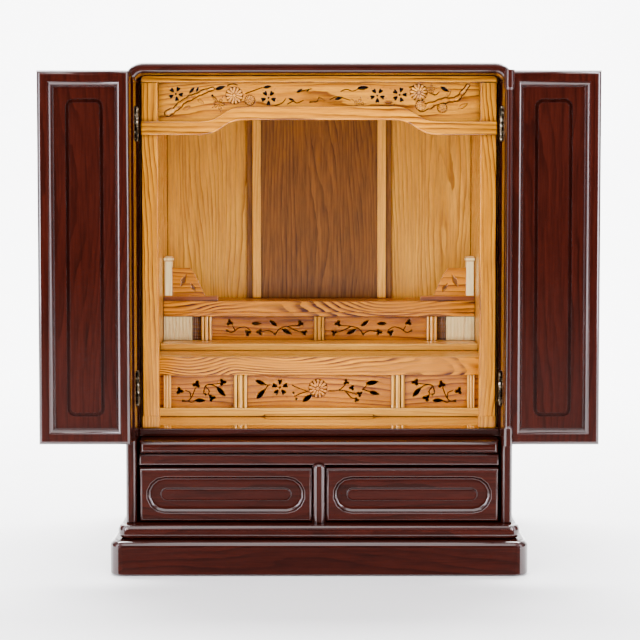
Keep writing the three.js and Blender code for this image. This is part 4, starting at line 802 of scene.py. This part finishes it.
def build_carved_boards():
    """The three lower panels, the two upper ones and the transom, whose foot the arched beam hides."""
    row_1, row_2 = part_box("bottom_rail")[1].z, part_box("upper_panel_left")[0].z
    relief_board("lower_panel_left", LOWER_SIDE, (-LOWER_SIDE_AT, row_1), ROW_GRID)
    relief_board("lower_panel_right", mirrored(LOWER_SIDE), (LOWER_SIDE_AT, row_1), ROW_GRID)
    relief_board("lower_panel_centre", LOWER_CENTRE, (0, row_1), ROW_GRID)
    relief_board("upper_panel_left", UPPER_SIDE, (-UPPER_PANEL_W / 2, row_2), ROW_GRID)
    relief_board("upper_panel_right", mirrored(UPPER_SIDE), (UPPER_PANEL_W / 2, row_2), ROW_GRID)
    origin = (0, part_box("transom")[1].z - TRANSOM_BAND)
    base = (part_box("arched_beam")[0].z - origin[1]) / MM + BEAM_OVERLAP
    relief_board("transom", TRANSOM_CARVING, origin, TRANSOM_GRID,
                 lambda x: beam_curve(x, base, BEAM_RISE, BEAM_OUTER, BEAM_INNER))


# Hinges

def add_turned(form, place, rings, steps):
    """A turned form from (rise, radius) rings, closed at its last one; place says where its parts lie."""
    turns = [i * math.tau / steps for i in range(steps)]
    loops = [[form.verts.new(place(rise, radius * math.cos(a), radius * math.sin(a))) for a in turns]
             for rise, radius in rings]
    for low, high in zip(loops, loops[1:]):
        for i in range(steps):
            j = (i + 1) % steps
            form.faces.new((low[i], low[j], high[j], high[i]))
    form.faces.new(loops[-1])
    return loops


def add_cylinder(form, x, y, radius, z0, z1, bevel):
    """An upright cylinder with bevelled ends."""
    rings = [(z0, radius - bevel), (z0 + bevel, radius), (z1 - bevel, radius), (z1, radius - bevel)]
    loops = add_turned(form, lambda rise, a, b: (x + a, y + b, rise), rings, 24)
    form.faces.new(loops[0][::-1])


def add_screw(form, x, y, z, side):
    """A domed screw head with a hollow in its middle, facing along X."""
    rings = [(0.0, SCREW_R), (0.25 * MM, SCREW_R * 0.82), (0.3 * MM, SCREW_R * 0.3),
             (-0.35 * MM, SCREW_R * 0.12)]
    add_turned(form, lambda rise, a, b: (x + side * rise, y + a, z + b), rings, 16)


def knuckled_hinge(node):
    """A butt hinge: knuckles on a pin, a plate with two screws, and the strap that joins them."""
    lo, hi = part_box(node)
    post = "post" in node
    barrel_right = ("left" in node) == post
    x = hi.x - BARREL_R if barrel_right else lo.x + BARREL_R
    y = hi.y - BARREL_R if post else lo.y + BARREL_R
    form = bmesh.new()
    pin = PIN_H + PIN_BEVEL
    for z0, z1 in ((lo.z, lo.z + pin), (hi.z - pin, hi.z)):
        add_cylinder(form, x, y, BARREL_R * PIN_SHARE, z0, z1, PIN_BEVEL)
    length = hi.z - lo.z
    knuckle = (length - 2 * PIN_H) / KNUCKLES
    for i in range(KNUCKLES):
        z0 = lo.z + PIN_H + i * knuckle
        add_cylinder(form, x, y, BARREL_R, z0 + KNUCKLE_GAP, z0 + knuckle - KNUCKLE_GAP, KNUCKLE_BEVEL)
    side = 1 if barrel_right else -1
    outer = lo.x if barrel_right else hi.x
    face = outer + side * HINGE_PLATE
    y0, y1 = (lo.y, y) if post else (y, hi.y)
    add_block(form, (min(outer, face), y0, lo.z), (max(outer, face), y1, hi.z))
    for share in SCREWS_AT:
        add_screw(form, face, (y0 + y1) / 2, lo.z + share * length, side)
    add_block(form, (min(x, outer), y - STRAP_HALF, lo.z + STRAP_IN),
              (max(x, outer), y + STRAP_HALF, hi.z - STRAP_IN))
    mesh = bpy.data.meshes.new(f"{node}_finished")
    form.to_mesh(mesh)
    form.free()
    piece = new_piece(f"{node}_finished", mesh)
    soften(piece, HINGE_EDGE, 2)
    settle(piece, node)


build_carved_boards()
for node in frame["nodes"]:
    if node.startswith("hinge_"):
        knuckled_hinge(node)
    elif node != "transom" and "_panel_" not in node:
        rounded_copy(node)


# Stage, light and camera

FLOOR_GAP = 0.4 * MM            # keeps the floor clear of the plinth's foot
MIDDLE = (0, 0, 0.3)
WARM, LILAC, WHITE = (1, 0.98, 0.95), (0.95, 0.92, 1), (1, 1, 1)
# Place, target, width, height, power and colour of each soft light
LIGHTS = {
    "key": ((-1.2, -2.6, 1.2), MIDDLE, 0.8, 0.8, 20, WARM),
    "fill": ((1.3, -2.5, 1.0), MIDDLE, 0.8, 0.8, 13, WARM),
    "overhead": ((0, -0.7, 2.4), (0, -0.5, 0), 2.6, 1.6, 40, WHITE),
    "front_wash": ((0, -3.0, 2.6), (0, -1.9, 0), 3.0, 2.0, 60, WHITE),
    "backdrop": ((0, 0.9, 2.8), (0, 2.6, 0.5), 4.0, 1.0, 700, WHITE),
    "left_panel": ((-1.8, -0.9, 0.7), MIDDLE, 0.7, 1.6, 22, LILAC),
    "right_panel": ((1.8, -0.9, 0.7), MIDDLE, 0.7, 1.6, 18, LILAC),
    "left_strip": ((-1.75, -2.0, 0.6), (0, -0.15, 0.35), 0.34, 1.7, 62, LILAC),
    "right_strip": ((1.75, -2.0, 0.6), (0, -0.15, 0.35), 0.34, 1.7, 54, LILAC),
}


def matte(name, colour):
    """A dull surface with a faint mottle."""
    n = Nodes(name)
    mottle = n.noise(n.stretched("x", 6, 6), 1.0, detail=3)
    tint = n.ramp(mottle, [(0.3, [c * 0.97 for c in colour]), (0.7, colour)])
    n.put(n.shader.inputs["Base Color"], tint)
    n.put(n.shader.inputs["Roughness"], 0.8)
    return n.material


def build_stage():
    """A pale floor that curves up into a backdrop."""
    half, front, back, height, radius, steps = 6.0, -5.0, 2.6, 4.5, 1.2, 16
    line = [(front, 0.0)]
    for i in range(steps + 1):
        angle = i / steps * math.pi / 2
        line.append((back - radius + radius * math.sin(angle), radius * (1 - math.cos(angle))))
    line.append((back, height))
    points = [(x, y, z - FLOOR_GAP) for x in (-half, half) for y, z in line]
    count = len(line)
    faces = [(i, i + 1, count + i + 1, count + i) for i in range(count - 1)]
    mesh = bpy.data.meshes.new("floor")
    mesh.from_pydata(points, [], faces)
    mesh.shade_smooth()
    floor = new_piece("floor", mesh)
    mesh.materials.append(matte("pale_floor", (0.95, 0.95, 0.955)))


def build_lights():
    for name, (place, target, width, height, power, colour) in LIGHTS.items():
        data = bpy.data.lights.new(name, "AREA")
        data.shape = "RECTANGLE"
        data.size, data.size_y = width, height
        data.energy = power
        data.color = colour
        light = bpy.data.objects.new(name, data)
        bpy.context.scene.collection.objects.link(light)
        light.location = place
        light.rotation_euler = (Vector(target) - Vector(place)).to_track_quat("-Z", "Y").to_euler()


def build_world():
    """A pale surrounding that is brighter above than near the floor."""
    world = bpy.data.worlds.new("studio")
    world.use_nodes = True
    tree = world.node_tree
    direction = tree.nodes.new("ShaderNodeTexCoord")
    split = tree.nodes.new("ShaderNodeSeparateXYZ")
    tree.links.new(direction.outputs["Generated"], split.inputs[0])
    strength = tree.nodes.new("ShaderNodeMapRange")
    for name, value in {"From Min": 0.15, "From Max": 0.8, "To Min": 0.1, "To Max": 1.0}.items():
        strength.inputs[name].default_value = value
    tree.links.new(split.outputs[2], strength.inputs["Value"])
    background = tree.nodes["Background"]
    background.inputs["Color"].default_value = (0.97, 0.98, 1, 1)
    tree.links.new(strength.outputs[0], background.inputs["Strength"])
    bpy.context.scene.world = world


def build_camera():
    data = bpy.data.cameras.new("camera")
    data.lens = CAMERA_LENS
    data.shift_y = CAMERA_SHIFT
    camera = bpy.data.objects.new("camera", data)
    bpy.context.scene.collection.objects.link(camera)
    camera.location = (CAMERA_SIDE, CASE_FRONT - CAMERA_DISTANCE, CAMERA_HEIGHT)
    camera.rotation_euler = (math.pi / 2 - CAMERA_TILT, 0, 0)
    bpy.context.scene.camera = camera


build_stage()
build_lights()
build_world()
build_camera()
